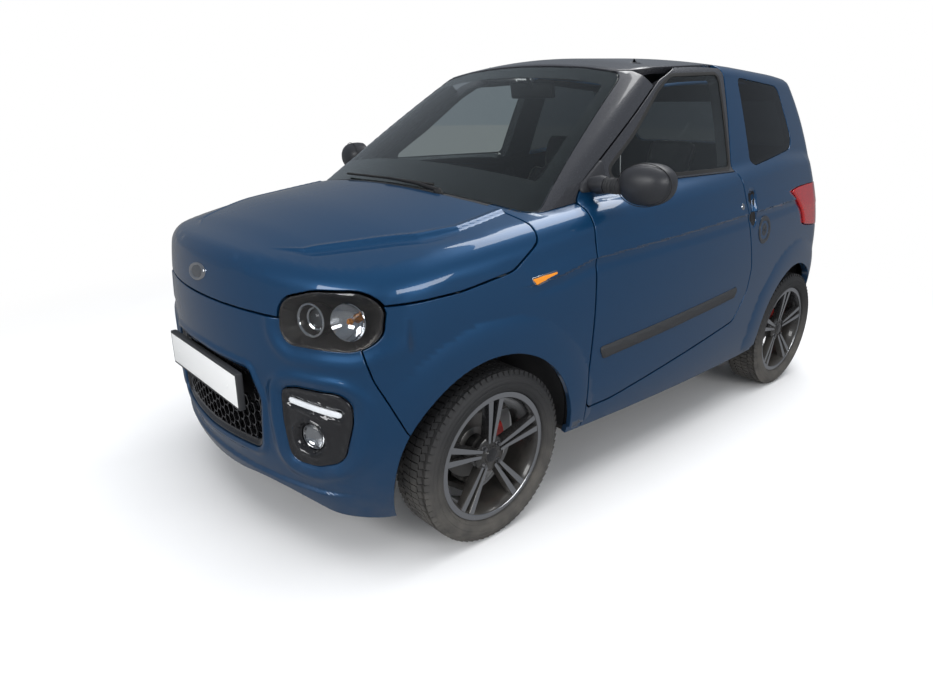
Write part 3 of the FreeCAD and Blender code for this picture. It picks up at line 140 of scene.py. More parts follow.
def weaveGroup():
    # crossed threads: lighter on their raised crests and darker in the hollows between them as painted shade, with a
    # random uneven dye on top
    tree, inputs, outputs = groupShell(
        "clothWeave",
        [("Dark", "Color", (0, 0, 0, 1)), ("Light", "Color", (1, 1, 1, 1)), ("Threads", "Float", 3000.0)],
        [("Color", "Color"), ("Roughness", "Float"), ("Height", "Float")])
    make = tree.nodes.new
    place, apart = make("ShaderNodeTexCoord"), make("ShaderNodeSeparateXYZ")
    noise = setInputs(make("ShaderNodeTexNoise"), Scale=60, Detail=5)
    rough = setInputs(make("ShaderNodeMapRange"), To_Min=0.82, To_Max=0.95)
    wire(tree, (place, "Object", apart, "Vector"), (place, "Object", noise, "Vector"), (noise, "Fac", rough, "Value"))

    def calc(operation, a, b):
        return mathNode(tree, operation, a, b).outputs[0]
    threads = inputs.outputs["Threads"]
    slant = calc("ADD", apart.outputs["X"], apart.outputs["Z"])
    warp = calc("SINE", calc("MULTIPLY", apart.outputs["Y"], threads), 0.0)
    weft = calc("SINE", calc("MULTIPLY", slant, threads), 0.0)
    height = calc("MULTIPLY", warp, weft)
    # the thread height in the colour is painted shade in the weave's hollows; the noise is uneven dye
    share = calc("ADD", calc("MULTIPLY", height, 0.28), noise.outputs["Fac"])
    tree.links.new(colourMix(tree, share, inputs.outputs["Dark"], inputs.outputs["Light"]), outputs.inputs["Color"])
    tree.links.new(height, outputs.inputs["Height"])
    wire(tree, (rough, "Result", outputs, "Roughness"))
    return tree


weave = weaveGroup()


def cloth(name, dark, light, threads, bump):
    return patterned(newMaterial(name, light, 0.9, Sheen_Weight=0.35, Sheen_Roughness=0.4), weave, bump, 0.0006,
                     Dark=(*dark, 1), Light=(*light, 1), Threads=threads)


bluePaint = grained("bluePaint", (0.001, 0.036, 0.105), (0.004, 0.066, 0.170), 2600, (0.34, 0.42), dust=0.30,
                    Metallic=0.60, Coat_Weight=1.0, Coat_Roughness=0.025)
darkRoof = grained("darkRoof", (0.022, 0.023, 0.027), (0.032, 0.033, 0.038), 300, (0.22, 0.30), Coat_Weight=0.8,
                   Coat_Roughness=0.05)
glossBlack = grained("glossBlack", (0.006, 0.006, 0.007), (0.010, 0.010, 0.011), 120, (0.10, 0.16), Coat_Weight=1.0,
                     Coat_Roughness=0.03)
matteBlack = grained("matteBlack", (0.007, 0.007, 0.008), (0.012, 0.012, 0.013), 500, (0.55, 0.7), bump=0.2)
grainedPlastic = grained("grainedPlastic", (0.020, 0.021, 0.023), (0.034, 0.035, 0.038), 900, (0.50, 0.62), bump=0.25,
                         dust=0.6)
mirrorPlastic = grained("mirrorPlastic", (0.016, 0.017, 0.020), (0.027, 0.028, 0.032), 1100, (0.34, 0.44), bump=0.12)
capPlastic = grained("capPlastic", (0.018, 0.020, 0.024), (0.028, 0.031, 0.037), 700, (0.30, 0.40), bump=0.08,
                     Coat_Weight=0.3)
innerPanel = grained("innerPanel", (0.016, 0.018, 0.022), (0.026, 0.029, 0.036), 200, (0.50, 0.65), bump=0.15)
rubberSeal = grained("rubberSeal", (0.010, 0.010, 0.010), (0.018, 0.018, 0.018), 700, (0.65, 0.8), bump=0.2)
badgeGrey = grained("badgeGrey", (0.14, 0.15, 0.16), (0.22, 0.23, 0.25), 900, (0.25, 0.34), Metallic=0.8)
chrome = grained("chrome", (0.58, 0.59, 0.61), (0.70, 0.71, 0.73), 500, (0.05, 0.11), Metallic=1.0)
lampBowl = grained("lampBowl", (0.042, 0.036, 0.033), (0.075, 0.066, 0.060), 260, (0.26, 0.38), bump=0.05,
                   Metallic=0.35)
plateWhite = grained("plateWhite", (0.70, 0.70, 0.69), (0.78, 0.78, 0.77), 900, (0.30, 0.40), bump=0.04)
tyreRubber = grained("tyreRubber", (0.013, 0.013, 0.014), (0.024, 0.024, 0.025), 800, (0.62, 0.78), bump=0.2,
                     dust=0.5)
rimBlack = grained("rimBlack", (0.009, 0.009, 0.010), (0.015, 0.015, 0.016), 600, (0.20, 0.30), dust=0.3,
                   Coat_Weight=0.7, Coat_Roughness=0.08)
machinedFace = grained("machinedFace", (0.46, 0.47, 0.49), (0.62, 0.63, 0.65), 1900, (0.20, 0.30), bump=0.06,
                       Metallic=1.0, Coat_Weight=0.4)
brakeSteel = grained("brakeSteel", (0.16, 0.155, 0.15), (0.30, 0.29, 0.28), 1200, (0.35, 0.50), bump=0.15,
                     Metallic=0.9)
boltSteel = grained("boltSteel", (0.25, 0.25, 0.26), (0.40, 0.40, 0.41), 1500, (0.28, 0.42), Metallic=1.0)
caliperRed = grained("caliperRed", (0.34, 0.012, 0.010), (0.46, 0.022, 0.018), 500, (0.34, 0.48), dust=0.3)
steelDark = grained("steelDark", (0.022, 0.022, 0.024), (0.045, 0.045, 0.048), 420, (0.42, 0.60), bump=0.3, dust=0.7,
                    Metallic=0.4)
exhaustSteel = grained("exhaustSteel", (0.15, 0.14, 0.13), (0.26, 0.25, 0.24), 380, (0.36, 0.52), bump=0.2, dust=0.6,
                       Metallic=0.9)
engineMetal = grained("engineMetal", (0.10, 0.10, 0.105), (0.19, 0.19, 0.20), 450, (0.45, 0.62), bump=0.35,
                      Metallic=0.6)
dashPlastic = grained("dashPlastic", (0.016, 0.016, 0.017), (0.028, 0.028, 0.030), 1300, (0.48, 0.60), bump=0.35)
greyPlastic = grained("greyPlastic", (0.10, 0.10, 0.105), (0.15, 0.15, 0.155), 1300, (0.44, 0.56), bump=0.25)
seatCloth = cloth("seatCloth", (0.012, 0.012, 0.014), (0.034, 0.035, 0.039), 3400, 0.5)
screenShade = grained("screenShade", (0.004, 0.006, 0.008), (0.010, 0.014, 0.018), 40, (0.06, 0.10), Coat_Weight=1.0)


def glassFinish(name, tint, roughness=(0.0, 0.015)):
    return grained(name, tuple(c * 0.985 for c in tint), tint, 14, roughness, Transmission_Weight=1.0, IOR=1.45)


clearGlass, darkGlass = glassFinish("clearGlass", (0.88, 0.94, 0.92)), glassFinish("darkGlass", (0.12, 0.135, 0.14))
clearLens = glassFinish("clearLens", (0.97, 0.98, 0.98))
projectorGlass = glassFinish("projectorGlass", (0.80, 0.84, 0.90))
amberLens = grained("amberLens", (0.62, 0.19, 0.008), (0.86, 0.30, 0.018), 700, (0.12, 0.22), bump=0.05,
                    Coat_Weight=1.0)
redLens = grained("redLens", (0.24, 0.006, 0.006), (0.40, 0.012, 0.012), 500, (0.08, 0.16), bump=0.04,
                  Coat_Weight=1.0)
whiteLens = grained("whiteLens", (0.60, 0.62, 0.64), (0.74, 0.76, 0.78), 300, (0.10, 0.18), bump=0.03,
                    Coat_Weight=1.0)
mirrorGlass = grained("mirrorGlass", (0.60, 0.62, 0.64), (0.64, 0.66, 0.68), 30, (0.0, 0.02), Metallic=1.0)


# The body's form, in metres: the same surface as the solids have

bodyForm = {
    "nose": 1.5, "tail": -1.5, "half": 0.74, "axle": 0.914, "rear": -1.016, "door": 0.513, "pillar": -0.486,
    "hub": 0.273, "arch": 0.325, "gap": 0.005, "shoulder": 0.070, "roofEdge": 0.045, "junction": 0.008,
}
# height, nose set back, nose corner, side set in, tail set in, tail corner
lowerRows = np.array((
    (130, 72, 250, 62, 62, 200), (230, 30, 270, 30, 26, 220), (430, 12, 290, 8, 4, 240),
    (640, 14, 300, 0, 4, 240), (860, 36, 300, 16, 42, 240), (1160, 155, 280, 90, 150, 240),
)) / 1000
# height, nose from the axle, side set in, tail set in
upperRows = np.array(((900, 28, 57, 60), (1100, -274, 118, 95), (1300, -584, 185, 180),
                      (1500, -904, 262, 320))) / 1000
waistLine = (
    ("nose", 120, 800, 0), ("nose", -62, 882, 250), ("nose", -400, 962, 1500), ("nose", -710, 1006, 1500),
    ("axle", -464, 1052, 1500), ("tail", 600, 1150, 2500), ("tail", 200, 1130, 1500), ("tail", -120, 1080, 0),
)
roofLine = (
    ("axle", 60, 1252, 0), ("axle", -914, 1449, 600), ("axle", -1364, 1474, 3000),
    ("tail", 500, 1453, 2500), ("tail", 50, 1405, 0),
)
waistAxis, roofAxis = -2.150, -1.330


def placed(rows):
    # a side-view outline: anchor, x, height, corner radius
    return [(bodyForm[anchor] + x / 1000, z / 1000, r / 1000) for anchor, x, z, r in rows]


def placedFront(rows):
    return [(y / 1000, z / 1000, r / 1000) for y, z, r in rows]


def roundedPoints(rows, closed=True, step=0.006):
    # an outline's corners, rounded and sampled
    points = []
    count = len(rows)
    for i, (u, v, radius) in enumerate(rows):
        b = np.array((u, v))
        if radius <= 0 or (not closed and i in (0, count - 1)):
            points.append(b)
            continue
        a, c = np.array(rows[i - 1][:2]), np.array(rows[(i + 1) % count][:2])
        toA, toC = (a - b) / np.linalg.norm(a - b), (c - b) / np.linalg.norm(c - b)
        half = math.acos(max(-1.0, min(1.0, float(toA @ toC)))) / 2
        bisector = (toA + toC) / np.linalg.norm(toA + toC)
        centre = b + bisector * radius / math.sin(half)
        run = radius / math.tan(half)
        start, end = b + toA * run - centre, b + toC * run - centre
        a0, a1 = math.atan2(start[1], start[0]), math.atan2(end[1], end[0])
        turn = (a1 - a0 + math.pi) % (2 * math.pi) - math.pi
        parts = max(2, int(abs(turn) * radius / step), int(abs(turn) / 0.12))
        for k in range(parts + 1):
            angle = a0 + turn * k / parts
            points.append(centre + radius * np.array((math.cos(angle), math.sin(angle))))
    return np.array(points)


def naturalSpline(knots, values):
    # a smooth curve through a few values
    n = len(knots)
    h = np.diff(knots)
    system, right = np.eye(n), np.zeros(n)
    for i in range(1, n - 1):
        system[i, i - 1:i + 2] = h[i - 1], 2 * (h[i - 1] + h[i]), h[i]
        right[i] = 6 * ((values[i + 1] - values[i]) / h[i] - (values[i] - values[i - 1]) / h[i - 1])
    bend = np.linalg.solve(system, right)

    def at(z):
        i = np.clip(np.searchsorted(knots, z) - 1, 0, n - 2)
        a, b = (knots[i + 1] - z) / h[i], (z - knots[i]) / h[i]
        lift = ((a ** 3 - a) * bend[i] + (b ** 3 - b) * bend[i + 1]) * h[i] ** 2 / 6
        return a * values[i] + b * values[i + 1] + lift
    return at


lowerSplines = [naturalSpline(lowerRows[:, 0], lowerRows[:, k]) for k in range(1, 6)]
upperSplines = [naturalSpline(upperRows[:, 0], upperRows[:, k]) for k in range(1, 4)]
waistCurve = roundedPoints(placed(waistLine), closed=False, step=0.02)[::-1]
roofCurve = roundedPoints(placed(roofLine), closed=False, step=0.02)[::-1]


def circlesMeet(ax, ay, ar, bx, by, br, forward):
    dx, dy = bx - ax, by - ay
    d = np.hypot(dx, dy)
    along = (ar * ar - br * br + d * d) / (2 * d)
    rise = np.sqrt(np.maximum(0, ar * ar - along * along))
    mx, my = ax + along * dx / d, ay + along * dy / d
    p, q = (mx + rise * dy / d, my - rise * dx / d), (mx - rise * dy / d, my + rise * dx / d)
    first = (p[0] > q[0]) == forward
    return np.where(first, p[0], q[0]), np.where(first, p[1], q[1])


def planField(x, y, nose, noseRadius, noseCorner, half, middle, flankRadius, tail, tailRadius, tailCorner):
    # distance outside a plan section of eight arcs
    y = np.abs(y)
    noseX, flankY, tailX = nose - noseRadius, half - flankRadius, tail + tailRadius
    cx, cy = circlesMeet(noseX, 0, noseRadius - noseCorner, middle, flankY, flankRadius - noseCorner, True)
    kx, ky = circlesMeet(tailX, 0, tailRadius - tailCorner, middle, flankY, flankRadius - tailCorner, False)
    onNose = np.arctan2(y, x - noseX) < np.arctan2(cy, cx - noseX)
    onCorner = np.arctan2(y - flankY, x - middle) < np.arctan2(cy - flankY, cx - middle)
    onTail = np.arctan2(y, x - tailX) > np.arctan2(ky, kx - tailX)
    onBack = np.arctan2(y - flankY, x - middle) > np.arctan2(ky - flankY, kx - middle)
    flank = np.hypot(x - middle, y - flankY) - flankRadius
    front = np.where(onNose, np.hypot(x - noseX, y) - noseRadius,
                     np.where(onCorner, np.hypot(x - cx, y - cy) - noseCorner, flank))
    back = np.where(onTail, np.hypot(x - tailX, y) - tailRadius,
                    np.where(onBack, np.hypot(x - kx, y - ky) - tailCorner, flank))
    return np.where(x >= middle, front, back)


def lowerPlan(x, y, z):
    nose, corner, side, tail, back = (spline(z) for spline in lowerSplines)
    return planField(x, y, bodyForm["nose"] - nose, 1.3, corner, bodyForm["half"] - side, 0.0, 12.0,
                     bodyForm["tail"] + tail, 1.6, back)


def upperPlan(x, y, z):
    nose, side, tail = (spline(z) for spline in upperSplines)
    return planField(x, y, bodyForm["axle"] + nose, 1.3, 0.11, bodyForm["half"] - side, bodyForm["axle"] - 1.214, 9.0,
                     bodyForm["tail"] + tail, 1.5, 0.15)


def roundedMeet(planPart, curve, axis, radius):
    # a hull's distance: its plan and its crowned top, with the edge between them rounded
    def crown(x, y, z):
        return np.hypot(z - axis, y) + axis - np.interp(x, curve[:, 0], curve[:, 1])

    def at(x, y, z):
        h = 0.002
        a, b = planPart(x, y, z), crown(x, y, z)
        az = (planPart(x, y, z + h) - planPart(x, y, z - h)) / (2 * h)
        bx = (crown(x + h, y, z) - crown(x - h, y, z)) / (2 * h)
        ax = (planPart(x + h, y, z) - planPart(x - h, y, z)) / (2 * h)
        aLong, bLong = np.sqrt(1 + az * az), np.sqrt(1 + bx * bx)
        cosine = np.clip((ax * bx + az) / (aLong * bLong), -0.9, 0.98)
        r = radius * (1 - np.sqrt((1 + cosine) / 2)) / 0.2929
        a, b = a / aLong, b / bLong
        both = (a > -r) & (b > -r)
        return np.where(both, np.hypot(np.maximum(a + r, 0), np.maximum(b + r, 0)) - r, np.maximum(a, b))
    return at


lowerField = roundedMeet(lowerPlan, waistCurve, waistAxis, bodyForm["shoulder"])
upperField = roundedMeet(upperPlan, roofCurve, roofAxis, bodyForm["roofEdge"])


def bodyField(x, y, z):
    a, b = lowerField(x, y, z), np.where(z > 0.86, upperField(x, y, np.maximum(z, 0.86)), 1.0)
    k = bodyForm["junction"] * 2
    blend = np.maximum(k - np.abs(a - b), 0) / k
    return np.minimum(a, b) - blend * blend * k / 4


def castRays(origins, directions, field, reach=1.6, steps=30):
    # the point where each ray leaves the body
    near, away = np.full(len(origins), 0.01), np.full(len(origins), reach)
    for _ in range(steps):
        t = (near + away) / 2
        p = origins + directions * t[:, None]
        inside = field(*p.T) < 0
        near, away = np.where(inside, t, near), np.where(inside, away, t)
    return origins + directions * away[:, None]


def slopes(field, p, h=0.0008):
    out = np.zeros_like(p)
    for axis in range(3):
        q, r = p.copy(), p.copy()
        q[:, axis] += h
        r[:, axis] -= h
        out[:, axis] = field(*q.T) - field(*r.T)
    return out / np.maximum(np.linalg.norm(out, axis=1), 1e-9)[:, None]


def outward(field, spot):
    # the direction straight out of the body at one spot
    normal = slopes(field, spot)[0]
    return normal / np.linalg.norm(normal)


def spineRows(rows):
    # rows of stations between anchors: origin x, origin y, heading in degrees, parts to the next row
    out = []
    for (ax, ay, aTurn, parts), (bx, by, bTurn, _) in zip(rows, rows[1:]):
        for k in range(parts):
            t = k / parts
            out.append((ax + (bx - ax) * t, ay + (by - ay) * t, math.radians(aTurn + (bTurn - aTurn) * t)))
    out.append((rows[-1][0], rows[-1][1], math.radians(rows[-1][2])))
    return np.array(out)


def gridFaces(rows, columns):
    i, j = np.meshgrid(np.arange(rows - 1), np.arange(columns - 1), indexing="ij")
    a = (i * columns + j).ravel()
    b, c, d = a + 1, a + columns + 1, a + columns
    return np.concatenate((np.stack((a, b, c), 1), np.stack((a, c, d), 1)))


def makeSheet(origins, directions, shape, field=bodyField):
    # a fine sheet on the body's surface, as points, normals and triangles facing outwards
    p = castRays(origins, directions, field)
    n = slopes(field, p)
    tris = gridFaces(*shape)
    facing = np.cross(p[tris[:, 1]] - p[tris[:, 0]], p[tris[:, 2]] - p[tris[:, 0]])
    if (facing * n[tris[:, 0]]).sum() < 0:
        tris = tris[:, ::-1]
    return {"p": p, "n": n, "tris": tris}


def ringSheet(rows, low, high, count, height=0.8, field=bodyField):
    # rays that fan out sideways, from elevation low to high
    spine = spineRows(rows)
    tilt = np.radians(np.linspace(low, high, count))
    origins = np.repeat(np.column_stack((spine[:, :2], np.full(len(spine), height))), count, axis=0)
    turn, lift = np.repeat(spine[:, 2], count), np.tile(tilt, len(spine))
    directions = np.column_stack((np.cos(turn) * np.cos(lift), np.sin(turn) * np.cos(lift), np.sin(lift)))
    return makeSheet(origins, directions, (len(spine), count), field)


def hoodSheet(rows, spread, count, height=0.6, field=bodyField):
    # rays that fan out from a spine along the middle: origin x, 0, heading, parts
    spine = spineRows(rows)
    side = np.radians(np.linspace(-spread, spread, count))
    origins = np.repeat(np.column_stack((spine[:, 0], np.zeros(len(spine)), np.full(len(spine), height))), count,
                        axis=0)
    turn, side = np.repeat(spine[:, 2], count), np.tile(side, len(spine))
    directions = np.column_stack((np.cos(turn) * np.cos(side), np.sin(side), np.sin(turn) * np.cos(side)))
    return makeSheet(origins, directions, (len(spine), count), field)


# Cutting sheets along outlines

def outlineField(points, axes):
    # signed distance to a closed outline seen along one axis: negative inside
    a = np.asarray(points)
    b = np.roll(a, -1, axis=0)
    ab = b - a
    longSquared = np.maximum((ab * ab).sum(1), 1e-12)

    def at(p):
        out = np.empty(len(p))
        for start in range(0, len(p), 20000):
            q = p[start:start + 20000][:, axes]
            t = np.clip(((q[:, None, :] - a) * ab).sum(2) / longSquared, 0, 1)
            away = q[:, None, :] - (a + ab * t[..., None])
            distance = np.sqrt((away * away).sum(2)).min(1)
            v = q[:, 1][:, None]
            crosses = (a[:, 1] > v) != (b[:, 1] > v)
            rise = np.where(np.abs(ab[:, 1]) < 1e-12, 1e-12, ab[:, 1])
            atEdge = a[:, 0] + (v - a[:, 1]) / rise * ab[:, 0]
            odd = (crosses & (q[:, 0][:, None] < atEdge)).sum(1) % 2
            out[start:start + 20000] = np.where(odd == 1, -distance, distance)
        return out
    return at


def sideOutline(rows):
    return outlineField(roundedPoints(rows), (0, 2))


def frontOutline(rows):
    return outlineField(roundedPoints(rows), (1, 2))


def within(field, inset=0.0):
    return lambda p: field(p) + inset


def outsideOf(field, gap=0.0):
    return lambda p: gap - field(p)


def cutEdges(sheet, edges, inverse, t):
    # puts a new point on each edge that has a place in t, and divides the triangles there
    chosen = ~np.isnan(t)
    first, second, share = edges[chosen, 0], edges[chosen, 1], t[chosen][:, None]
    number = np.full(len(edges), -1)
    number[chosen] = len(sheet["p"]) + np.arange(chosen.sum())
    out = {}
    for key, values in sheet.items():
        if key == "tris":
            continue
        flat = values if values.ndim == 2 else values[:, None]
        added = flat[first] * (1 - share) + flat[second] * share
        if key == "n":
            added /= np.maximum(np.linalg.norm(added, axis=1), 1e-9)[:, None]
        joined = np.concatenate((flat, added))
        out[key] = joined if values.ndim == 2 else joined[:, 0]
    tris = sheet["tris"]
    m = number[inverse]
    has = m >= 0
    count = has.sum(1)
    pieces = [tris[count == 0]]
    for turn in range(3):
        a, b, c = (tris[:, (turn + k) % 3] for k in range(3))
        ab, bc, ca = (m[:, (turn + k) % 3] for k in range(3))
        one = (count == 1) & (ab >= 0)
        pieces += [np.stack((a, ab, c), 1)[one], np.stack((ab, b, c), 1)[one]]
        two = (count == 2) & (ab >= 0) & (bc >= 0)
        pieces += [np.stack((ab, b, bc), 1)[two], np.stack((a, ab, bc), 1)[two], np.stack((a, bc, c), 1)[two]]
    three = count == 3
    a, b, c = tris[three].T
    ab, bc, ca = m[three].T
    pieces += [np.stack(k, 1) for k in ((a, ab, ca), (ab, b, bc), (ca, bc, c), (ab, bc, ca))]
    out["tris"] = np.concatenate(pieces)
    return out


def sheetEdges(sheet):
    tris = sheet["tris"]
    pairs = np.sort(tris[:, [0, 1, 1, 2, 2, 0]].reshape(-1, 2), axis=1)
    edges, inverse = np.unique(pairs, axis=0, return_inverse=True)
    return edges, inverse.reshape(-1, 3)


def divide(sheet, limit, level=0.0):
    # a row of points along the line where limit is level
    value = limit(sheet["p"]) - level
    edges, inverse = sheetEdges(sheet)
    a, b = value[edges[:, 0]], value[edges[:, 1]]
    crossing = (a * b < 0)
    t = np.full(len(edges), np.nan)
    if crossing.any():
        pa, pb = sheet["p"][edges[crossing, 0]], sheet["p"][edges[crossing, 1]]
        low, high = np.zeros(crossing.sum()), np.ones(crossing.sum())
        va, vb = a[crossing], b[crossing]
        for _ in range(4):
            share = low + (high - low) * np.clip(va / (va - vb), 0.02, 0.98)
            v = limit(pa + (pb - pa) * share[:, None]) - level
            same = v * va > 0
            low, va = np.where(same, share, low), np.where(same, v, va)
            high, vb = np.where(same, high, share), np.where(same, vb, v)
        share[(share < 0.03) | (share > 0.97)] = np.nan
        t[crossing] = share
    return cutEdges(sheet, edges, inverse, t)


def tidySheet(sheet, keep):
    tris = sheet["tris"][keep]
    used, inverse = np.unique(tris, return_inverse=True)
    out = {key: values[used] for key, values in sheet.items() if key != "tris"}
    out["tris"] = inverse.reshape(-1, 3)
    return out


def trim(sheet, limit, level=0.0):
    # keeps the part of the sheet where limit is under level
    value = limit(sheet["p"]) - level
    sheet = tidySheet(sheet, (value[sheet["tris"]] < 0).any(1))
    sheet = divide(sheet, limit, level)
    middle = limit(sheet["p"][sheet["tris"]].mean(1)) - level
    return tidySheet(sheet, middle < 0)


def refine(sheet, near):
    # divides the triangles that lie near something in four
    marked = near(sheet["p"])[sheet["tris"]].any(1)
    edges, inverse = sheetEdges(sheet)
    t = np.full(len(edges), np.nan)
    t[np.unique(inverse[marked])] = 0.5
    return cutEdges(sheet, edges, inverse, t)


def smooth(value):
    value = np.clip(value, 0, 1)
    return value * value * (3 - 2 * value)


def tangents(n):
    flat = np.where(np.abs(n[:, 2:3]) < 0.9, np.array([[0.0, 0.0, 1.0]]), np.array([[1.0, 0.0, 0.0]]))
    a = np.cross(n, flat)
    a /= np.linalg.norm(a, axis=1)[:, None]
    return a, np.cross(n, a)


def pressForm(sheet, form):
    # moves a sheet out by form and leans its normals to match
    p, n = sheet["p"], sheet["n"]
    h = 0.0015
    a, b = tangents(n)
    sa = (form(p + a * h) - form(p - a * h)) / (2 * h)
    sb = (form(p + b * h) - form(p - b * h)) / (2 * h)
    moved = dict(sheet)
    moved["p"] = p + n * form(p)[:, None]
    leaned = n - a * sa[:, None] - b * sb[:, None]
    moved["n"] = leaned / np.linalg.norm(leaned, axis=1)[:, None]
    return moved


# From sheets to closed panels

def addObject(name, data):
    made = bpy.data.objects.new(name, data)
    bpy.context.scene.collection.objects.link(made)
    return made


def newMesh(name, points, faces, normals, marks, materials):
    # faces: arrays of corners, one array for each corner count; normals: one for each corner
    mesh = bpy.data.meshes.new(name)
    corners = np.concatenate([f.ravel() for f in faces]).astype(np.int32)
    counts = np.concatenate([np.full(len(f), f.shape[1]) for f in faces])
    mesh.vertices.add(len(points))
    mesh.vertices.foreach_set("co", points.astype(np.float32).ravel())
    mesh.loops.add(len(corners))
    mesh.loops.foreach_set("vertex_index", corners)
    mesh.polygons.add(len(counts))
    mesh.polygons.foreach_set("loop_start", np.concatenate(([0], np.cumsum(counts)[:-1])).astype(np.int32))
    mesh.polygons.foreach_set("material_index", marks.astype(np.int32))
    mesh.update(calc_edges=True)
    for material in materials:
        mesh.materials.append(material)
    mesh.polygons.foreach_set("use_smooth", np.ones(len(counts), bool))
    mesh.normals_split_custom_set(normals.tolist())
    return addObject(name, mesh)


def rimEdges(tris):
    # the edges that belong to one triangle only, in its direction
    directed = tris[:, [0, 1, 1, 2, 2, 0]].reshape(-1, 2)
    low, high = directed.min(1), directed.max(1)
    _, first, count = np.unique(low * (tris.max() + 1) + high, return_index=True, return_counts=True)
    return directed[first[count == 1]]


def cutPanel(sheet, limits, hem=0.0024, rows=(1.0,), fine=0.004):
    # trims a sheet to its limits, with finer triangles along the rim, unless fine is 0, and rows for the turned edge
    for limit in limits:
        sheet = trim(sheet, limit)
    if fine:
        sheet = refine(sheet, lambda p: np.max([limit(p) for limit in limits], axis=0) > -fine)
    for limit in limits:
        for share in rows:
            sheet = divide(sheet, limit, -hem * share)
    depth = -np.max([limit(sheet["p"]) for limit in limits], axis=0)
    edge = np.zeros_like(sheet["p"])
    rim = depth < hem * 1.5
    p, n = sheet["p"][rim], sheet["n"][rim]
    a, b = tangents(n)
    h = 0.001

    def worst(q):
        return np.max([limit(q) for limit in limits], axis=0)
    out = a * (worst(p + a * h) - worst(p - a * h))[:, None] + b * (worst(p + b * h) - worst(p - b * h))[:, None]
    edge[rim] = out / np.maximum(np.linalg.norm(out, axis=1), 1e-9)[:, None]
    sheet = dict(sheet)
    sheet["depth"], sheet["edge"] = np.maximum(depth, 0), edge
    return sheet


def closePanel(name, sheet, thickness, materials, hem=0.0024, drift=None, inset=0.0):
    # turns the rim over, adds the wall behind it and the inner face
    p, n, edge, tris = sheet["p"] - sheet["n"] * inset, sheet["n"], sheet["edge"], sheet["tris"]
    u = np.clip(1 - sheet["depth"] / hem, 0, 1) if hem else np.zeros(len(p))
    rise = np.sqrt(np.maximum(1 - u * u, 0))
    outer = p - n * (hem * (1 - rise))[:, None]
    shade = n * rise[:, None] + edge * u[:, None]
    shade /= np.maximum(np.linalg.norm(shade, axis=1), 1e-9)[:, None]
    inner = p - n * thickness
    if drift is not None:
        inner = inner + drift(p)
    count = len(p)
    border = rimEdges(tris)
    i, j = border[:, 0], border[:, 1]
    wall = np.stack((j, i, i + count, j + count), 1)
    turned = tris[:, ::-1]
    normals = np.concatenate((shade[tris.ravel()], edge[np.stack((j, i, i, j), 1).ravel()], -n[turned.ravel()]))
    marks = np.concatenate((np.zeros(len(tris) + len(wall)), np.ones(len(tris)) * (len(materials) > 1)))
    faces = [tris, wall, turned + count]
    return newMesh(name, np.concatenate((outer, inner)), faces, normals, marks, materials)


def meshArrays(mesh):
    # its points, corner normals and corners, and each face's first corner, corner count and material
    def read(items, key, kind=np.int32, width=1):
        values = np.empty(len(items) * width, kind)
        items.foreach_get(key, values)
        return values.reshape(-1, width) if width > 1 else values
    index, starts = read(mesh.loops, "vertex_index"), read(mesh.polygons, "loop_start")
    return (read(mesh.vertices, "co", np.float32, 3), read(mesh.corner_normals, "vector", np.float32, 3), index,
            starts, np.diff(np.append(starts, len(index))), read(mesh.polygons, "material_index"))


def mirrored(piece, name):
    # the same piece on the car's other side
    points, shade, index, starts, lengths, marks = meshArrays(piece.data)
    flip = np.array((1, -1, 1))
    faces, normals, newMarks = [], [], []
    for k in np.unique(lengths):
        slots = starts[lengths == k][:, None] + np.arange(k)[::-1]
        faces.append(index[slots])
        normals.append(shade[slots.ravel()] * flip)
        newMarks.append(marks[lengths == k])
    return newMesh(name, points * flip, faces, np.concatenate(normals), np.concatenate(newMarks),
                   list(piece.data.materials))


def gathered(own, shared):
    # adds a piece's materials to a shared list and gives the place of each one there
    for material in own:
        if material not in shared:
            shared.append(material)
    return np.array([shared.index(material) for material in own] or [0])


def joinPieces(name, pieces):
    # several pieces as one, with their own materials
    points, parts, materials, start = [], {}, [], 0
    for piece in pieces:
        co, shade, index, starts, lengths, marks = meshArrays(piece.data)
        place = gathered(piece.data.materials, materials)
        for k in np.unique(lengths):
            slots = starts[lengths == k][:, None] + np.arange(k)
            parts.setdefault(k, []).append((index[slots] + start, shade[slots.ravel()], place[marks[lengths == k]]))
        points.append(co)
        start += len(co)
        bpy.data.objects.remove(piece)
    faces, normals, marks = zip(*([np.concatenate(column) for column in zip(*parts[k])] for k in sorted(parts)))
    return newMesh(name, np.concatenate(points), faces, np.concatenate(normals), np.concatenate(marks), materials)


def bothSidesPiece(name, left):
    # a left piece and its mirror image as one
    return joinPieces(name, [mirrored(left, name + "Right"), left])


def settle(piece, body, slot, *stands):
    # the piece rides on its body, in the place of its nodes
    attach(piece, body)
    if stands:
        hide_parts(*stands)
    return piece


def onDoors(left, right, slot, node=""):
    # the piece on the left door, and its mirror image under the name right on the other one
    for piece, side in ((mirrored(left, right), "_right"), (left, "_left")):
        settle(piece, "door" + side, slot, *([node + side] if node else []))


# Outlines, as the solids have them

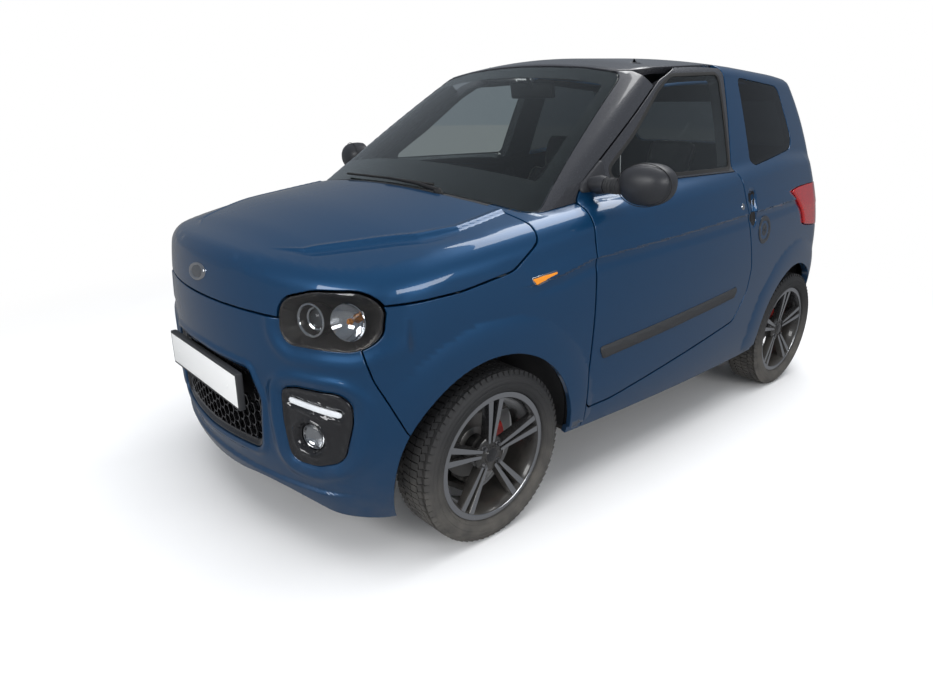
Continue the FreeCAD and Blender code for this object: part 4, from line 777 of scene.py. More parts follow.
bonnetLine = placed((
    ("nose", 100, 736, 0), ("nose", -78, 736, 30), ("nose", -196, 796, 40), ("nose", -235, 790, 200),
    ("nose", -460, 803, 300), ("nose", -640, 833, 90), ("axle", -162, 905, 40), ("axle", -166, 955, 0),
    ("axle", -166, 1200, 0), ("nose", 100, 1200, 0),
))
bumperLine = placed((
    ("nose", 100, 100, 0), ("nose", 100, 731, 0), ("nose", -80, 731, 20), ("nose", -182, 706, 0),
    ("nose", -212, 590, 160), ("axle", 296, 430, 120), ("axle", 255, 385, 0), ("axle", 200, 100, 0),
))
doorLine = placed((
    ("door", 0, 319, 30), ("door", 0, 985, 26), ("door", -44, 1042, 40), ("door", -340, 1236, 500),
    ("door", -528, 1361, 150), ("door", -650, 1408, 120), ("pillar", 14, 1428, 34), ("pillar", 86, 1048, 60),
    ("pillar", 40, 870, 200), ("pillar", -24, 650, 60), ("pillar", -14, 556, 90), ("pillar", 66, 443, 60),
    ("door", -125, 322, 400),
))
windowLine = placed((
    ("door", -128, 1046, 22), ("door", -330, 1180, 500), ("door", -508, 1322, 160), ("door", -600, 1374, 90),
    ("pillar", 64, 1394, 24), ("pillar", 104, 1053, 24),
))
quarterLine = placed((
    ("pillar", -82, 1052, 26), ("pillar", -92, 1390, 30), ("pillar", -480, 1368, 60), ("pillar", -556, 1110, 60),
))
roofLineSide = placed((
    ("axle", -500, 1600, 0), ("axle", -500, 1386, 0), ("axle", -824, 1388, 0), ("axle", -934, 1401, 200),
    ("axle", -1364, 1434, 1500), ("tail", 600, 1424, 800), ("tail", 150, 1385, 0), ("tail", 150, 1600, 0),
))
sideLine = placed((
    ("door", 2, 245, 0), ("door", 2, 400, 0), ("pillar", 150, 450, 0), ("pillar", 150, 1060, 0),
    ("pillar", 30, 1420, 0), ("pillar", 30, 1600, 0), ("tail", -100, 1600, 0),
    ("tail", -100, 612, 0), ("rear", -250, 612, 0), ("rear", -318, 245, 0),
))
rearBumperLine = placed((
    ("tail", -100, 150, 0), ("rear", -335, 150, 0), ("rear", -323, 245, 0), ("rear", -255, 607, 0),
    ("tail", -100, 607, 0),
))
wingLine = placed((
    ("door", 5, 245, 0), ("door", 5, 1200, 0), ("axle", 150, 1200, 0), ("nose", 0, 1100, 0), ("nose", 0, 250, 0),
    ("axle", 250, 245, 0),
))
pillarLine = placed((
    ("axle", 60, 860, 0), ("axle", 60, 1385.7, 0), ("axle", -824, 1387.7, 0), ("door", -500, 1330, 0),
    ("door", 5, 900, 0),
))
screenLine = placedFront((
    (-606, 940, 0), (606, 940, 0), (600, 985, 40), (466, 1380, 60), (300, 1404, 900), (0, 1420, 3500),
    (-300, 1404, 900), (-466, 1380, 60), (-600, 985, 40),
))
tailgateLine = placedFront((
    (-470, 1600, 0), (470, 1600, 0), (470, 1300, 90), (545, 1060, 160), (560, 760, 60), (520, 618, 60),
    (-520, 618, 60), (-560, 760, 60), (-545, 1060, 160), (-470, 1300, 90),
))
rearWindowLine = placedFront(((-410, 1330, 50), (410, 1330, 50), (470, 1110, 50), (-470, 1110, 50)))
lampLine = placedFront(((394, 664, 50), (392, 784, 60), (500, 818, 150), (640, 826, 60), (642, 670, 62)))
podLine = placedFront((
    (384, 534, 30), (440, 549, 80), (589, 552, 44), (589, 470, 150), (567, 352, 60), (490, 322, 90), (404, 322, 42),
    (384, 440, 160),
))
grilleLine = placedFront((
    (-262, 562, 26), (0, 572, 900), (262, 562, 26), (306, 480, 50), (292, 318, 40), (0, 306, 900), (-292, 318, 40),
    (-306, 480, 50),
))
tailLampLine = placedFront(((600, 960, 26), (676, 950, 30), (690, 760, 26), (612, 750, 26)))


def bothSides(field):
    return lambda p: field(p * (1, 0, 1) + np.abs(p) * (0, 1, 0))


gap, seal = bodyForm["gap"], 0.0005
bonnetField, bumperField = sideOutline(bonnetLine), sideOutline(bumperLine)
doorField, windowField, quarterField = sideOutline(doorLine), sideOutline(windowLine), sideOutline(quarterLine)
roofField, sideField, rearBumperField = sideOutline(roofLineSide), sideOutline(sideLine), sideOutline(rearBumperLine)
wingField, pillarField = sideOutline(wingLine), sideOutline(pillarLine)
screenField, grilleField = frontOutline(screenLine), frontOutline(grilleLine)
tailgateField, rearWindowField = frontOutline(tailgateLine), frontOutline(rearWindowLine)
lampField, podField = bothSides(frontOutline(lampLine)), bothSides(frontOutline(podLine))
tailLampField = bothSides(frontOutline(tailLampLine))


def archField(p):
    # negative inside the round openings over the wheels
    front = np.hypot(p[:, 0] - bodyForm["axle"], p[:, 2] - bodyForm["hub"])
    rear = np.hypot(p[:, 0] - bodyForm["rear"], p[:, 2] - bodyForm["hub"])
    return np.minimum(front, rear) - bodyForm["arch"]


# Pressed forms of the panels

flareForm = {"reach": 0.112, "height": 0.0110, "fadeFront": (12, 60), "fadeRear": (-1, 0)}


def archFlare(p):
    # the swelling round each arch, ending in a crease
    out = np.zeros(len(p))
    for axle, fade in ((bodyForm["axle"], flareForm["fadeFront"]), (bodyForm["rear"], flareForm["fadeRear"])):
        dx, dz = p[:, 0] - axle, p[:, 2] - bodyForm["hub"]
        share = np.clip((np.hypot(dx, dz) - bodyForm["arch"]) / flareForm["reach"], 0, 1)
        angle = np.degrees(np.arctan2(dz, dx))
        out += flareForm["height"] * (1 - share ** 2.6) * smooth((angle - fade[0]) / (fade[1] - fade[0]))
    return out


creaseLine = np.array(((-1.5, 0.905), (-1.027, 0.897), (-0.461, 0.876), (0.531, 0.825), (0.664, 0.795),
                       (0.80, 0.780)))


def creaseAway(p):
    return p[:, 2] - np.interp(p[:, 0], creaseLine[:, 0], creaseLine[:, 1])


def sideCrease(p):
    # the line along the flank, rising to the rear: a sharp edge above a hollow
    x, away = p[:, 0], creaseAway(p)
    above = np.maximum(1 - np.maximum(away, 0) / 0.050, 0) * (away >= 0)
    below = np.exp(-((away + 0.022) / 0.016) ** 2) * (away < 0.004)
    return (0.0040 * above - 0.0030 * below) * smooth((0.86 - x) / 0.16) * smooth((x + 1.45) / 0.2)


def flankForm(p):
    return archFlare(p) + sideCrease(p)


bonnetEdge = np.array(((0.614, 0.530), (0.689, 0.533), (0.854, 0.550), (0.940, 0.556), (1.060, 0.526), (1.192, 0.443),
                       (1.310, 0.362), (1.372, 0.240)))


def foldInside(p):
    return np.interp(p[:, 0], bonnetEdge[:, 0], bonnetEdge[:, 1]) - np.abs(p[:, 1])


def bonnetForm(p):
    # the raised middle, its leaf-shaped fold and the scoop along it
    x, inside = p[:, 0], foldInside(p)
    fade = smooth((1.372 - x) / 0.10)
    raised = 0.006 * smooth((inside + 0.008) / 0.016)
    fold = 0.0035 * np.exp(-((inside - 0.010) / 0.010) ** 2) * smooth((x - 0.66) / 0.10)
    scoop = -0.0045 * np.exp(-((inside + 0.022) / 0.020) ** 2) * smooth((x - 0.90) / 0.15)
    return (raised + fold + scoop) * fade


def noseForm(p):
    # swellings round the lamps, the pods and the mouth, and the step above the lower lip
    lamp, pod, mouth = lampField(p), podField(p), grilleField(p)
    out = -0.006 * smooth(1 - np.maximum(lamp, 0) / 0.030) + 0.003 * np.exp(-((lamp - 0.040) / 0.014) ** 2)
    out += 0.008 * np.exp(-((pod - 0.030) / 0.016) ** 2) - 0.004 * smooth(1 - np.maximum(pod, 0) / 0.012)
    out += 0.006 * smooth(1 - np.abs(mouth - 0.012) / 0.018)
    out += 0.010 * smooth((0.250 - p[:, 2]) / 0.010) * smooth((0.60 - np.abs(p[:, 1])) / 0.10)
    return out


def alongCrease(sheet):
    # finer near the crease, with a row of points on it
    sheet = refine(sheet, lambda p: (np.abs(creaseAway(p)) < 0.036) & (p[:, 0] < 0.88))
    return divide(sheet, creaseAway)


def nearFold(p):
    return np.abs(foldInside(p)) < 0.045


def nearNose(p):
    lamp, pod, mouth = lampField(p), podField(p), grilleField(p)
    return (lamp < 0.045) | (pod < 0.042) | (np.abs(mouth) < 0.026) | (np.abs(p[:, 2] - 0.247) < 0.012)


def nearLip(p):
    return (np.abs(p[:, 2] - 0.246) < 0.009) & (np.abs(p[:, 1]) < 0.62)


def atFold(p):
    return np.abs(foldInside(p)) < 0.014


# Body panels

sheets = {}
thickness = {"bumper": 0.018, "bonnet": 0.016, "wing": 0.018, "door": 0.046, "side": 0.030, "tailgate": 0.034,
             "roof": 0.024, "screen": 0.004, "pane": 0.0035}
painted, darkSkin = [bluePaint, innerPanel], [darkRoof, innerPanel]
tailFrom, tailWide = -1.185, 0.475


def makeSheets():
    around = [(1.00, 0.2, 90, 4), (1.06, 0.2, 90, 42), (1.06, 0.2, 0, 22), (1.06, -0.2, 0, 42), (1.06, -0.2, -90, 4),
              (1.00, -0.2, -90, 0)]
    sheets["front"] = ringSheet(around, -56, 12, 58, field=lowerField)
    sheets["hood"] = hoodSheet([(0.72, 0, 90, 26), (1.14, 0, 90, 34), (1.14, 0, 8, 0)], 80, 92, field=lowerField)
    sheets["side"] = ringSheet([(0.50, 0.2, 90, 34), (1.06, 0.2, 90, 34), (1.06, 0.2, 10, 0)], -50, 34, 66,
                               field=lowerField)
    sheets["flank"] = ringSheet([(-0.62, 0.2, 90, 64), (0.56, 0.2, 90, 0)], -46, 64, 80)
    sheets["rear"] = ringSheet([(0.56, 0.2, 90, 36), (-0.20, 0.2, 90, 54), (-1.10, 0.2, 90, 34),
                                (-1.10, 0.2, 172, 0)], -54, 68, 80)
    behind = [(-1.10, 0.2, 90, 30), (-1.10, 0.2, 180, 20), (-1.10, -0.2, 180, 30), (-1.10, -0.2, 270, 0)]
    sheets["tail"] = ringSheet(behind, -62, 78, 92)
    sheets["top"] = hoodSheet([(-1.30, 0, 90, 104), (0.90, 0, 90, 0)], 68, 84, height=0.55, field=upperField)
    print("sheets")


def notUpper(p):
    return 0.008 - upperField(*p.T)


def notLower(p):
    return 0.0008 - lowerField(*p.T)


def makeFrontPanels():
    bumper = cutPanel(sheets["front"], [
        within(bumperField), outsideOf(lampField, seal), outsideOf(podField, seal), outsideOf(grilleField),
        outsideOf(archField), lambda p: 0.150 - p[:, 2]])
    bumper = pressForm(refine(refine(bumper, nearNose), nearLip), lambda p: noseForm(p) + archFlare(p))
    bumper = closePanel("frontBumper", bumper, thickness["bumper"], painted)
    settle(bumper, "root", "paint_blue", "front_bumper")
    bonnet = cutPanel(sheets["hood"], [within(bonnetField), outsideOf(lampField, gap), notUpper])
    bonnet = pressForm(refine(refine(bonnet, nearFold), atFold), bonnetForm)
    settle(closePanel("bonnetSkin", bonnet, thickness["bonnet"], painted), "bonnet", "paint_blue", "bonnet")
    wing = cutPanel(sheets["side"], [
        within(wingField), outsideOf(bonnetField, gap), outsideOf(bumperField, gap / 2),
        outsideOf(lampField, gap / 2),
        outsideOf(archField), lambda p: np.minimum(0.618 - np.abs(p[:, 1]), 0.6 - p[:, 2])])
    wing = pressForm(alongCrease(wing), lambda p: flankForm(p) + noseForm(p) * (p[:, 0] > 1.2))
    left = closePanel("wingLeft", wing, thickness["wing"], painted)
    settle(bothSidesPiece("wingSkins", left), "root", "paint_blue", "wings")
    print("front panels")


def beltLine(p):
    # where the door's dark window surround meets the painted skin
    return np.interp(p[:, 0], (-0.50, 0.50), (1.040, 1.022))


def makeSidePanels():
    limits = [within(doorField), outsideOf(windowField)]
    door = pressForm(alongCrease(cutPanel(sheets["flank"], limits + [lambda p: p[:, 2] - beltLine(p)])), flankForm)
    surround = pressForm(cutPanel(sheets["flank"], limits + [lambda p: beltLine(p) + 0.0008 - p[:, 2]]), flankForm)
    left = joinPieces("doorSkinLeft", [
        closePanel("doorLower", door, thickness["door"], painted),
        closePanel("doorSurround", surround, thickness["door"], darkSkin)])
    onDoors(left, "doorSkinRight", "paint_blue", "door")
    body = cutPanel(sheets["rear"], [
        within(sideField), outsideOf(doorField, gap), outsideOf(roofField, 0.0003), outsideOf(quarterField),
        outsideOf(archField), outsideOf(tailLampField, seal),
        lambda p: np.minimum(gap - tailgateField(p), tailFrom - p[:, 0])])
    body = pressForm(alongCrease(body), lambda p: flankForm(p) + handleForm(p))
    left = closePanel("bodySideLeft", body, thickness["side"], painted)
    settle(bothSidesPiece("bodySides", left), "root", "paint_blue", "side_panels")
    print("side panels")


def makeTailPanels():
    tail = sheets["tail"]
    gate = cutPanel(tail, [within(tailgateField), outsideOf(rearWindowField), lambda p: p[:, 0] + 1.190])
    settle(closePanel("tailgateSkin", gate, thickness["tailgate"], painted), "tailgate", "paint_blue", "tailgate")
    bumper = cutPanel(tail, [within(rearBumperField), outsideOf(archField), lambda p: 0.152 - p[:, 2]])
    bumper = closePanel("rearBumperSkin", pressForm(bumper, archFlare), thickness["bumper"], painted)
    settle(bumper, "root", "paint_blue", "rear_bumper")
    top = sheets["top"]
    roof = cutPanel(top, [
        within(roofField), lambda p: np.where(p[:, 0] > 0, -screenField(p), -1.0),
        lambda p: np.minimum(tailFrom - p[:, 0], tailWide - np.abs(p[:, 1]))])
    settle(closePanel("roofSkin", roof, thickness["roof"], darkSkin), "root", "gloss_black", "roof_panel")
    pillars = cutPanel(top, [within(pillarField), outsideOf(screenField), outsideOf(doorField, gap), notLower],
                       fine=0)
    settle(closePanel("pillarSkins", pillars, thickness["roof"], darkSkin), "root", "gloss_black", "pillar_frames")
    print("tail and roof")


def makeGlass():
    screen = cutPanel(sheets["top"], [within(screenField, seal), notLower, lambda p: -p[:, 0]], fine=0)
    settle(closePanel("screenGlass", screen, thickness["screen"], [clearGlass], inset=0.0015), "root", "glass_clear",
           "windscreen")
    pane = cutPanel(sheets["flank"], [within(windowField, seal)], fine=0)
    pane = closePanel("doorGlassLeft", pane, thickness["pane"], [clearGlass], inset=0.002)
    onDoors(pane, "doorGlassRight", "glass_clear", "door_glass")
    pane = cutPanel(sheets["rear"], [within(quarterField, seal)], fine=0)
    pane = closePanel("quarterGlassLeft", pane, thickness["pane"], [darkGlass], inset=0.002)
    settle(bothSidesPiece("quarterGlass", pane), "root", "glass_dark", "quarter_glass")
    pane = cutPanel(sheets["tail"], [within(rearWindowField, seal), lambda p: p[:, 0] + 1.190], fine=0)
    pane = closePanel("rearGlass", pane, thickness["pane"], [darkGlass], inset=0.002)
    settle(pane, "tailgate", "glass_dark", "rear_window")
    print("glass")


# Meshes from listed points

def circle(count):
    return [2 * math.pi * k / count for k in range(count)]


def ovalLoop(count, wide, tall, powers):
    # a rounded loop: sideways, upwards and the sine of the angle
    out = []
    for a in circle(count):
        c, s = math.cos(a), math.sin(a)
        out.append((wide * math.copysign(abs(c) ** powers[0], c), tall * math.copysign(abs(s) ** powers[1], s), s))
    return out


def sharpMesh(name, points, faces, materials, marks=None, angle=38):
    # a closed mesh with its faces turned outwards and its edges kept crisp
    mesh = bpy.data.meshes.new(name)
    mesh.from_pydata([tuple(p) for p in points], [], [tuple(f) for f in faces])
    for material in materials:
        mesh.materials.append(material)
    if marks is not None:
        mesh.polygons.foreach_set("material_index", np.array(marks, np.int32))
    work = bmesh.new()
    work.from_mesh(mesh)
    bmesh.ops.remove_doubles(work, verts=work.verts, dist=1e-6)
    bmesh.ops.recalc_face_normals(work, faces=work.faces)
    work.to_mesh(mesh)
    work.free()
    mesh.shade_smooth()
    mesh.set_sharp_from_angle(angle=math.radians(angle))
    return addObject(name, mesh)


def baked(piece):
    # the piece with its modifiers made real
    graph = bpy.context.evaluated_depsgraph_get()
    mesh = bpy.data.meshes.new_from_object(piece.evaluated_get(graph))
    piece.modifiers.clear()
    piece.data = mesh
    return piece


def turned(name, rows, materials, marks=None, steps=96, closed=False, start=0.0, sweep=360.0, angle=38):
    # rows of (radius, along) turned about the Y axis; marks: one for each stretch
    rows = [(max(r, 0.0), a) for r, a in rows]
    full = sweep >= 360
    rings = steps if full else steps + 1
    points = []
    for k in range(rings):
        turn = math.radians(start + sweep * k / steps)
        points += [(r * math.cos(turn), a, r * math.sin(turn)) for r, a in rows]
    count, faces, kinds = len(rows), [], []
    stretches = count if closed else count - 1
    for k in range(steps):
        low, high = k * count, ((k + 1) % rings) * count
        for i in range(stretches):
            j = (i + 1) % count
            corners = [low + i, low + j, high + j, high + i]
            if rows[i][0] < 1e-7:
                corners = [low + i, low + j, high + j]
            elif rows[j][0] < 1e-7:
                corners = [low + i, low + j, high + i]
            faces.append(corners)
            kinds.append(marks[i] if marks else 0)
    if not full and closed:
        faces += [list(range(count)), list(range((rings - 1) * count, rings * count))]
        kinds += [0, 0]
    return sharpMesh(name, points, faces, materials, kinds, angle)


def swept(name, sections, materials, marks=None, capped=True, angle=38, closed=False):
    # loops of the same count of points, joined one to the next
    count = len(sections[0])
    points = [tuple(p) for section in sections for p in section]
    faces, kinds = [], []
    total = len(sections)
    for k in range(total if closed else total - 1):
        low, high = k * count, ((k + 1) % total) * count
        for i in range(count):
            j = (i + 1) % count
            faces.append((low + i, low + j, high + j, high + i))
            kinds.append(marks[i] if marks else 0)
    if capped and not closed:
        faces += [tuple(range(count)), tuple(range((total - 1) * count, total * count))]
        kinds += [marks[0] if marks else 0] * 2
    return sharpMesh(name, points, faces, materials, kinds, angle)


def placedMesh(piece, matrix):
    piece.data.transform(matrix)
    if matrix.determinant() < 0:
        piece.data.flip_normals()
    return piece


def copyOf(piece, name, matrix):
    return placedMesh(addObject(name, piece.data.copy()), matrix)


def fusedPieces(name, pieces):
    # plain meshes gathered as one piece
    work = bmesh.new()
    materials = []
    for piece in pieces:
        start = len(work.faces)
        work.from_mesh(piece.data)
        place = gathered(piece.data.materials, materials).tolist()
        work.faces.ensure_lookup_table()
        for face in work.faces[start:]:
            face.material_index = place[face.material_index]
        bpy.data.objects.remove(piece)
    mesh = bpy.data.meshes.new(name)
    work.to_mesh(mesh)
    work.free()
    for material in materials:
        mesh.materials.append(material)
    return addObject(name, mesh)


def block(name, size, place, material, bevel=0.003, turn=None):
    # a plate or bar with rounded edges
    work = bmesh.new()
    bmesh.ops.create_cube(work, size=1)
    bmesh.ops.scale(work, vec=size, verts=work.verts)
    bmesh.ops.bevel(work, geom=work.edges[:], offset=bevel, segments=3, profile=0.5, affect="EDGES",
                    clamp_overlap=True)
    if turn is not None:
        bmesh.ops.rotate(work, cent=(0, 0, 0), matrix=turn, verts=work.verts)
    bmesh.ops.translate(work, vec=place, verts=work.verts)
    mesh = bpy.data.meshes.new(name)
    work.to_mesh(mesh)
    work.free()
    mesh.materials.append(material)
    mesh.shade_smooth()
    mesh.set_sharp_from_angle(angle=math.radians(40))
    return addObject(name, mesh)


def rod(name, path, radius, material, sides=12, closed=False):
    # a round bar along a line of points
    path = [Vector(p) for p in path]
    radii = radius if isinstance(radius, (list, tuple)) else [radius] * len(path)
    sections = []
    side = None
    for i, p in enumerate(path):
        ahead = path[(i + 1) % len(path)] if closed or i + 1 < len(path) else p
        behind = path[i - 1] if closed or i > 0 else p
        along = (ahead - behind).normalized()
        if side is None:
            side = along.orthogonal().normalized()
        side = (side - along * side.dot(along)).normalized()
        other = along.cross(side)
        sections.append([p + (side * math.cos(a) + other * math.sin(a)) * radii[i]
                         for a in circle(sides)])
    return swept(name, sections, [material], closed=closed, angle=50)


# Geometry nodes

class Tree:
    # a small helper that builds one geometry node tree
    def __init__(self, name, inputs):
        self.tree = bpy.data.node_groups.new(name, "GeometryNodeTree")
        self.tree.interface.new_socket("Geometry", in_out="INPUT", socket_type="NodeSocketGeometry")
        self.keys = {}
        for label, kind, value in inputs:
            socket = self.tree.interface.new_socket(label, in_out="INPUT", socket_type="NodeSocket" + kind)
            socket.default_value = value
            self.keys[label] = socket.identifier
        self.tree.interface.new_socket("Geometry", in_out="OUTPUT", socket_type="NodeSocketGeometry")
        self.start, self.end = self.node("NodeGroupInput"), self.node("NodeGroupOutput")

    def node(self, kind, **settings):
        made = self.tree.nodes.new(kind)
        for key, value in settings.items():
            setattr(made, key, value)
        return made

    def join(self, *links):
        wire(self.tree, *links)

    def sum(self, operation, a, b):
        # a and b: numbers or (node, output) pairs
        items = [item[0].outputs[item[1]] if isinstance(item, tuple) else item for item in (a, b)]
        return (mathNode(self.tree, operation, *items), 0)

    def finish(self, node, out, material):
        # real geometry with its material
        real = self.node("GeometryNodeRealizeInstances")
        paint = self.node("GeometryNodeSetMaterial")
        paint.inputs["Material"].default_value = material
        self.join((node, out, real, 0), (real, 0, paint, 0), (paint, 0, self.end, 0))

    def grow(self, name, seedPoints=((0, 0, 0),), **values):
        # runs the tree on a mesh of loose points and returns the plain result
        mesh = bpy.data.meshes.new(name)
        mesh.from_pydata([tuple(p) for p in seedPoints], [], [])
        piece = addObject(name, mesh)
        modifier = piece.modifiers.new("build", "NODES")
        modifier.node_group = self.tree
        for label, value in values.items():
            modifier[self.keys[label]] = value
        return baked(piece)


# Wheels

wheelForm = {
    "pairs": 5, "boltCircle": 0.040, "bolts": 4, "tyreRadius": 0.273, "width": 0.160, "treadCount": 74,
    "grooveDepth": 0.0065, "blockDepth": 0.016,
    "centres": {"fl": (0.914, 0.558), "fr": (0.914, 0.558), "rl": (-1.016, 0.546), "rr": (-1.016, 0.546)},
}


def treadTree():
    tree = Tree("treadBlocks", [("Count", "Int", 74), ("Radius", "Float", 0.266), ("Along", "Float", 0.08),
                                ("Wide", "Float", 0.02), ("Long", "Float", 0.018), ("Skew", "Float", 0.3),
                                ("Shift", "Float", 0.0), ("Lean", "Float", 0.0)])
    start, ring, index = tree.start, tree.node("GeometryNodeMeshCircle"), tree.node("GeometryNodeInputIndex")
    angle = tree.sum("MULTIPLY", (index, 0), tree.sum("DIVIDE", 2 * math.pi, (start, "Count")))
    turn, scale, offset, tilt = (tree.node("ShaderNodeCombineXYZ") for _ in range(4))
    block, place = tree.node("GeometryNodeMeshCube"), tree.node("GeometryNodeInstanceOnPoints")
    spin = tree.node("GeometryNodeTransform")
    scale.inputs[0].default_value = wheelForm["blockDepth"]
    tilt.inputs[0].default_value = math.radians(90)
    tree.join((start, "Count", ring, "Vertices"), (start, "Radius", ring, "Radius"), (start, "Skew", turn, 0),
              (start, "Lean", turn, 1), (*angle, turn, 2), (start, "Long", scale, 1), (start, "Wide", scale, 2),
              (ring, 0, place, "Points"), (block, 0, place, "Instance"), (turn, 0, place, "Rotation"),
              (scale, 0, place, "Scale"), (start, "Along", offset, 1), (start, "Shift", tilt, 1), (place, 0, spin, 0),
              (offset, 0, spin, "Translation"), (tilt, 0, spin, "Rotation"))
    tree.finish(spin, 0, tyreRubber)
    return tree


def makeTyre():
    base = wheelForm["tyreRadius"] - wheelForm["grooveDepth"]
    half = [(0.1915, 0.041), (0.1918, 0.026), (0.2057, 0.0226), (0.2064, 0.0128), (0.2095, 0.0072), (0.2150, 0.0042),
            (0.2165, 0.0048), (0.2180, 0.0033), (0.2240, 0.0014), (0.2330, 0.0004), (0.2342, 0.0016),
            (0.2362, 0.0016), (0.2374, 0.0005), (0.2460, 0.0016), (0.2472, 0.0029), (0.2490, 0.0031),
            (0.2505, 0.0030), (0.2560, 0.0064), (0.2610, 0.0116), (0.2645, 0.0175), (base, 0.0240),
            (base + 0.0004, 0.0400), (base + 0.0006, 0.0600)]
    rows = [(r, wheelForm["width"] - d) for r, d in half] + [(r, d) for r, d in reversed(half)]
    rows += [(0.2190, 0.0176), (0.2470, 0.0110), (0.2590, 0.0280), (0.2590, 0.1320), (0.2470, 0.1490),
             (0.2190, 0.1424)]
    carcass = turned("carcass", rows, [tyreRubber], steps=120, closed=True, angle=50)
    # along the tyre, width, length, skew, shift, lean and depth of each row of blocks
    blockRows = ((0.0165, 0.0300, 0.0195, 0.10, 0.0, 0.0, 0.0018), (0.0435, 0.0200, 0.0188, 0.42, 0.4, 0.0, 0.0018),
                 (0.0615, 0.0150, 0.0186, 0.15, 0.2, -0.34, 0.0048))
    tree = treadTree()
    count = wheelForm["treadCount"]
    parts = [carcass]
    step = 2 * math.pi / count
    for side in (1, -1):
        for along, wide, long, skew, shift, lean, sunk in blockRows:
            parts.append(tree.grow("tread", Count=count, Along=wheelForm["width"] / 2 + side * along, Wide=wide,
                                   Long=long, Skew=skew * side, Shift=shift * step, Lean=lean * side,
                                   Radius=base - sunk))
    return fusedPieces("tyreMaster", parts)


def spokeBar(angle, side):
    # one of a pair: slim at the hub, broad and proud at the rim, with a machined face
    sections = []
    c, s = math.cos(angle), math.sin(angle)
    for k in range(15):
        t = k / 14
        r = 0.040 + 0.150 * t
        middle = side * (0.0085 + 0.0135 * t ** 1.2)
        wide = 0.0050 + 0.0062 * t ** 0.8
        front = 0.1265 + 0.0165 * t ** 1.5 + 0.003 * math.sin(math.pi * t)
        back = front - 0.022 - 0.012 * (1 - t)
        loop = [(-wide * 1.25, back), (-wide * 1.05, front - 0.0035), (-wide * 0.86, front), (wide * 0.86, front),
                (wide * 1.05, front - 0.0035), (wide * 1.25, back)]
        sections.append([((r * c - (middle + q) * s), a, (r * s + (middle + q) * c)) for q, a in loop])
    return swept("spokeBar", sections, [rimBlack, machinedFace], marks=[0, 0, 1, 0, 0, 0], angle=30)


def webPlate(angle):
    # the sunk web between the two bars
    c, s = math.cos(angle), math.sin(angle)
    sections = []
    for k in range(12):
        t = k / 11
        r = 0.045 + 0.055 * t
        half = 0.0100 + 0.0050 * t
        front = 0.1180 + 0.004 * t - 0.030 * max(t - 0.75, 0)
        back = front - 0.018
        corners = ((-half, back), (-half, front), (half, front), (half, back))
        sections.append([(r * c - q * s, a, r * s + q * c) for q, a in corners])
    return swept("web", sections, [rimBlack], angle=30)


def makeRim():
    rows = [(0.0, 0.1300), (0.0240, 0.1298), (0.0262, 0.1288), (0.0275, 0.1262), (0.0300, 0.1252), (0.0520, 0.1228),
            (0.0580, 0.1190), (0.0600, 0.1080), (0.0560, 0.0900), (0.0400, 0.0860), (0.0400, 0.0480), (0.0, 0.0480)]
    hub = turned("hub", rows, [rimBlack], steps=72)
    lip = [(0.1700, 0.0480), (0.1730, 0.1000), (0.1790, 0.1280), (0.1840, 0.1400), (0.1868, 0.1440), (0.1885, 0.1452),
           (0.2020, 0.1460), (0.2045, 0.1452), (0.2050, 0.1432), (0.2050, 0.1390), (0.1910, 0.1350), (0.1890, 0.1060),
           (0.1760, 0.0980), (0.1760, 0.0580), (0.1890, 0.0480), (0.1910, 0.0260), (0.2050, 0.0220), (0.2050, 0.0150),
           (0.2030, 0.0142), (0.1890, 0.0160), (0.1690, 0.0440)]
    marks = [0, 0, 0, 0, 1, 1, 1, 0, 0, 0, 0, 0, 0, 0, 0, 0, 0, 0, 0, 0, 0]
    barrel = turned("barrel", lip, [rimBlack, machinedFace], marks, steps=128, closed=True, angle=30)
    disc = turned("disc", [(0.0, 0.0455), (0.058, 0.0455), (0.060, 0.0440), (0.060, 0.0420), (0.1050, 0.0420),
                           (0.1055, 0.0415), (0.1055, 0.0325), (0.1050, 0.0320),
                           (0.0, 0.0320)], [brakeSteel], steps=96)
    parts = [hub, barrel, disc]
    for k in range(wheelForm["pairs"]):
        angle = 2 * math.pi * k / wheelForm["pairs"] + math.radians(90)
        parts += [spokeBar(angle, 1), spokeBar(angle, -1), webPlate(angle)]
    tree = Tree("wheelBolts", [("Count", "Int", 4), ("Circle", "Float", 0.04), ("Size", "Float", 0.0085)])
    start, ring, both = tree.start, tree.node("GeometryNodeMeshCircle"), tree.node("GeometryNodeJoinGeometry")
    for sides, depth, low, high in ((6, 0.014, 1.0, 0.84), (20, 0.006, 1.45, 1.15)):
        cone = setInputs(tree.node("GeometryNodeMeshCone"), Vertices=sides, Depth=depth)
        tree.join((*tree.sum("MULTIPLY", (start, "Size"), low), cone, "Radius Bottom"),
                  (*tree.sum("MULTIPLY", (start, "Size"), high), cone, "Radius Top"), (cone, 0, both, 0))
    place = tree.node("GeometryNodeInstanceOnPoints")
    spin = setInputs(tree.node("GeometryNodeTransform"), Translation=(0, 0.1195, 0),
                     Rotation=(math.radians(-90), math.radians(45), 0))
    tree.join((start, "Count", ring, "Vertices"), (start, "Circle", ring, "Radius"), (ring, 0, place, "Points"),
              (both, 0, place, "Instance"), (place, 0, spin, 0))
    tree.finish(spin, 0, boltSteel)
    parts.append(tree.grow("bolts", Count=wheelForm["bolts"], Circle=wheelForm["boltCircle"], Size=0.0075))
    cap = turned("cap", [(0.0, 0.1322), (0.0195, 0.1318), (0.0215, 0.1310), (0.0222, 0.1296), (0.0, 0.1280)],
                 [glossBlack], steps=48)
    return fusedPieces("rimMaster", parts + [cap])


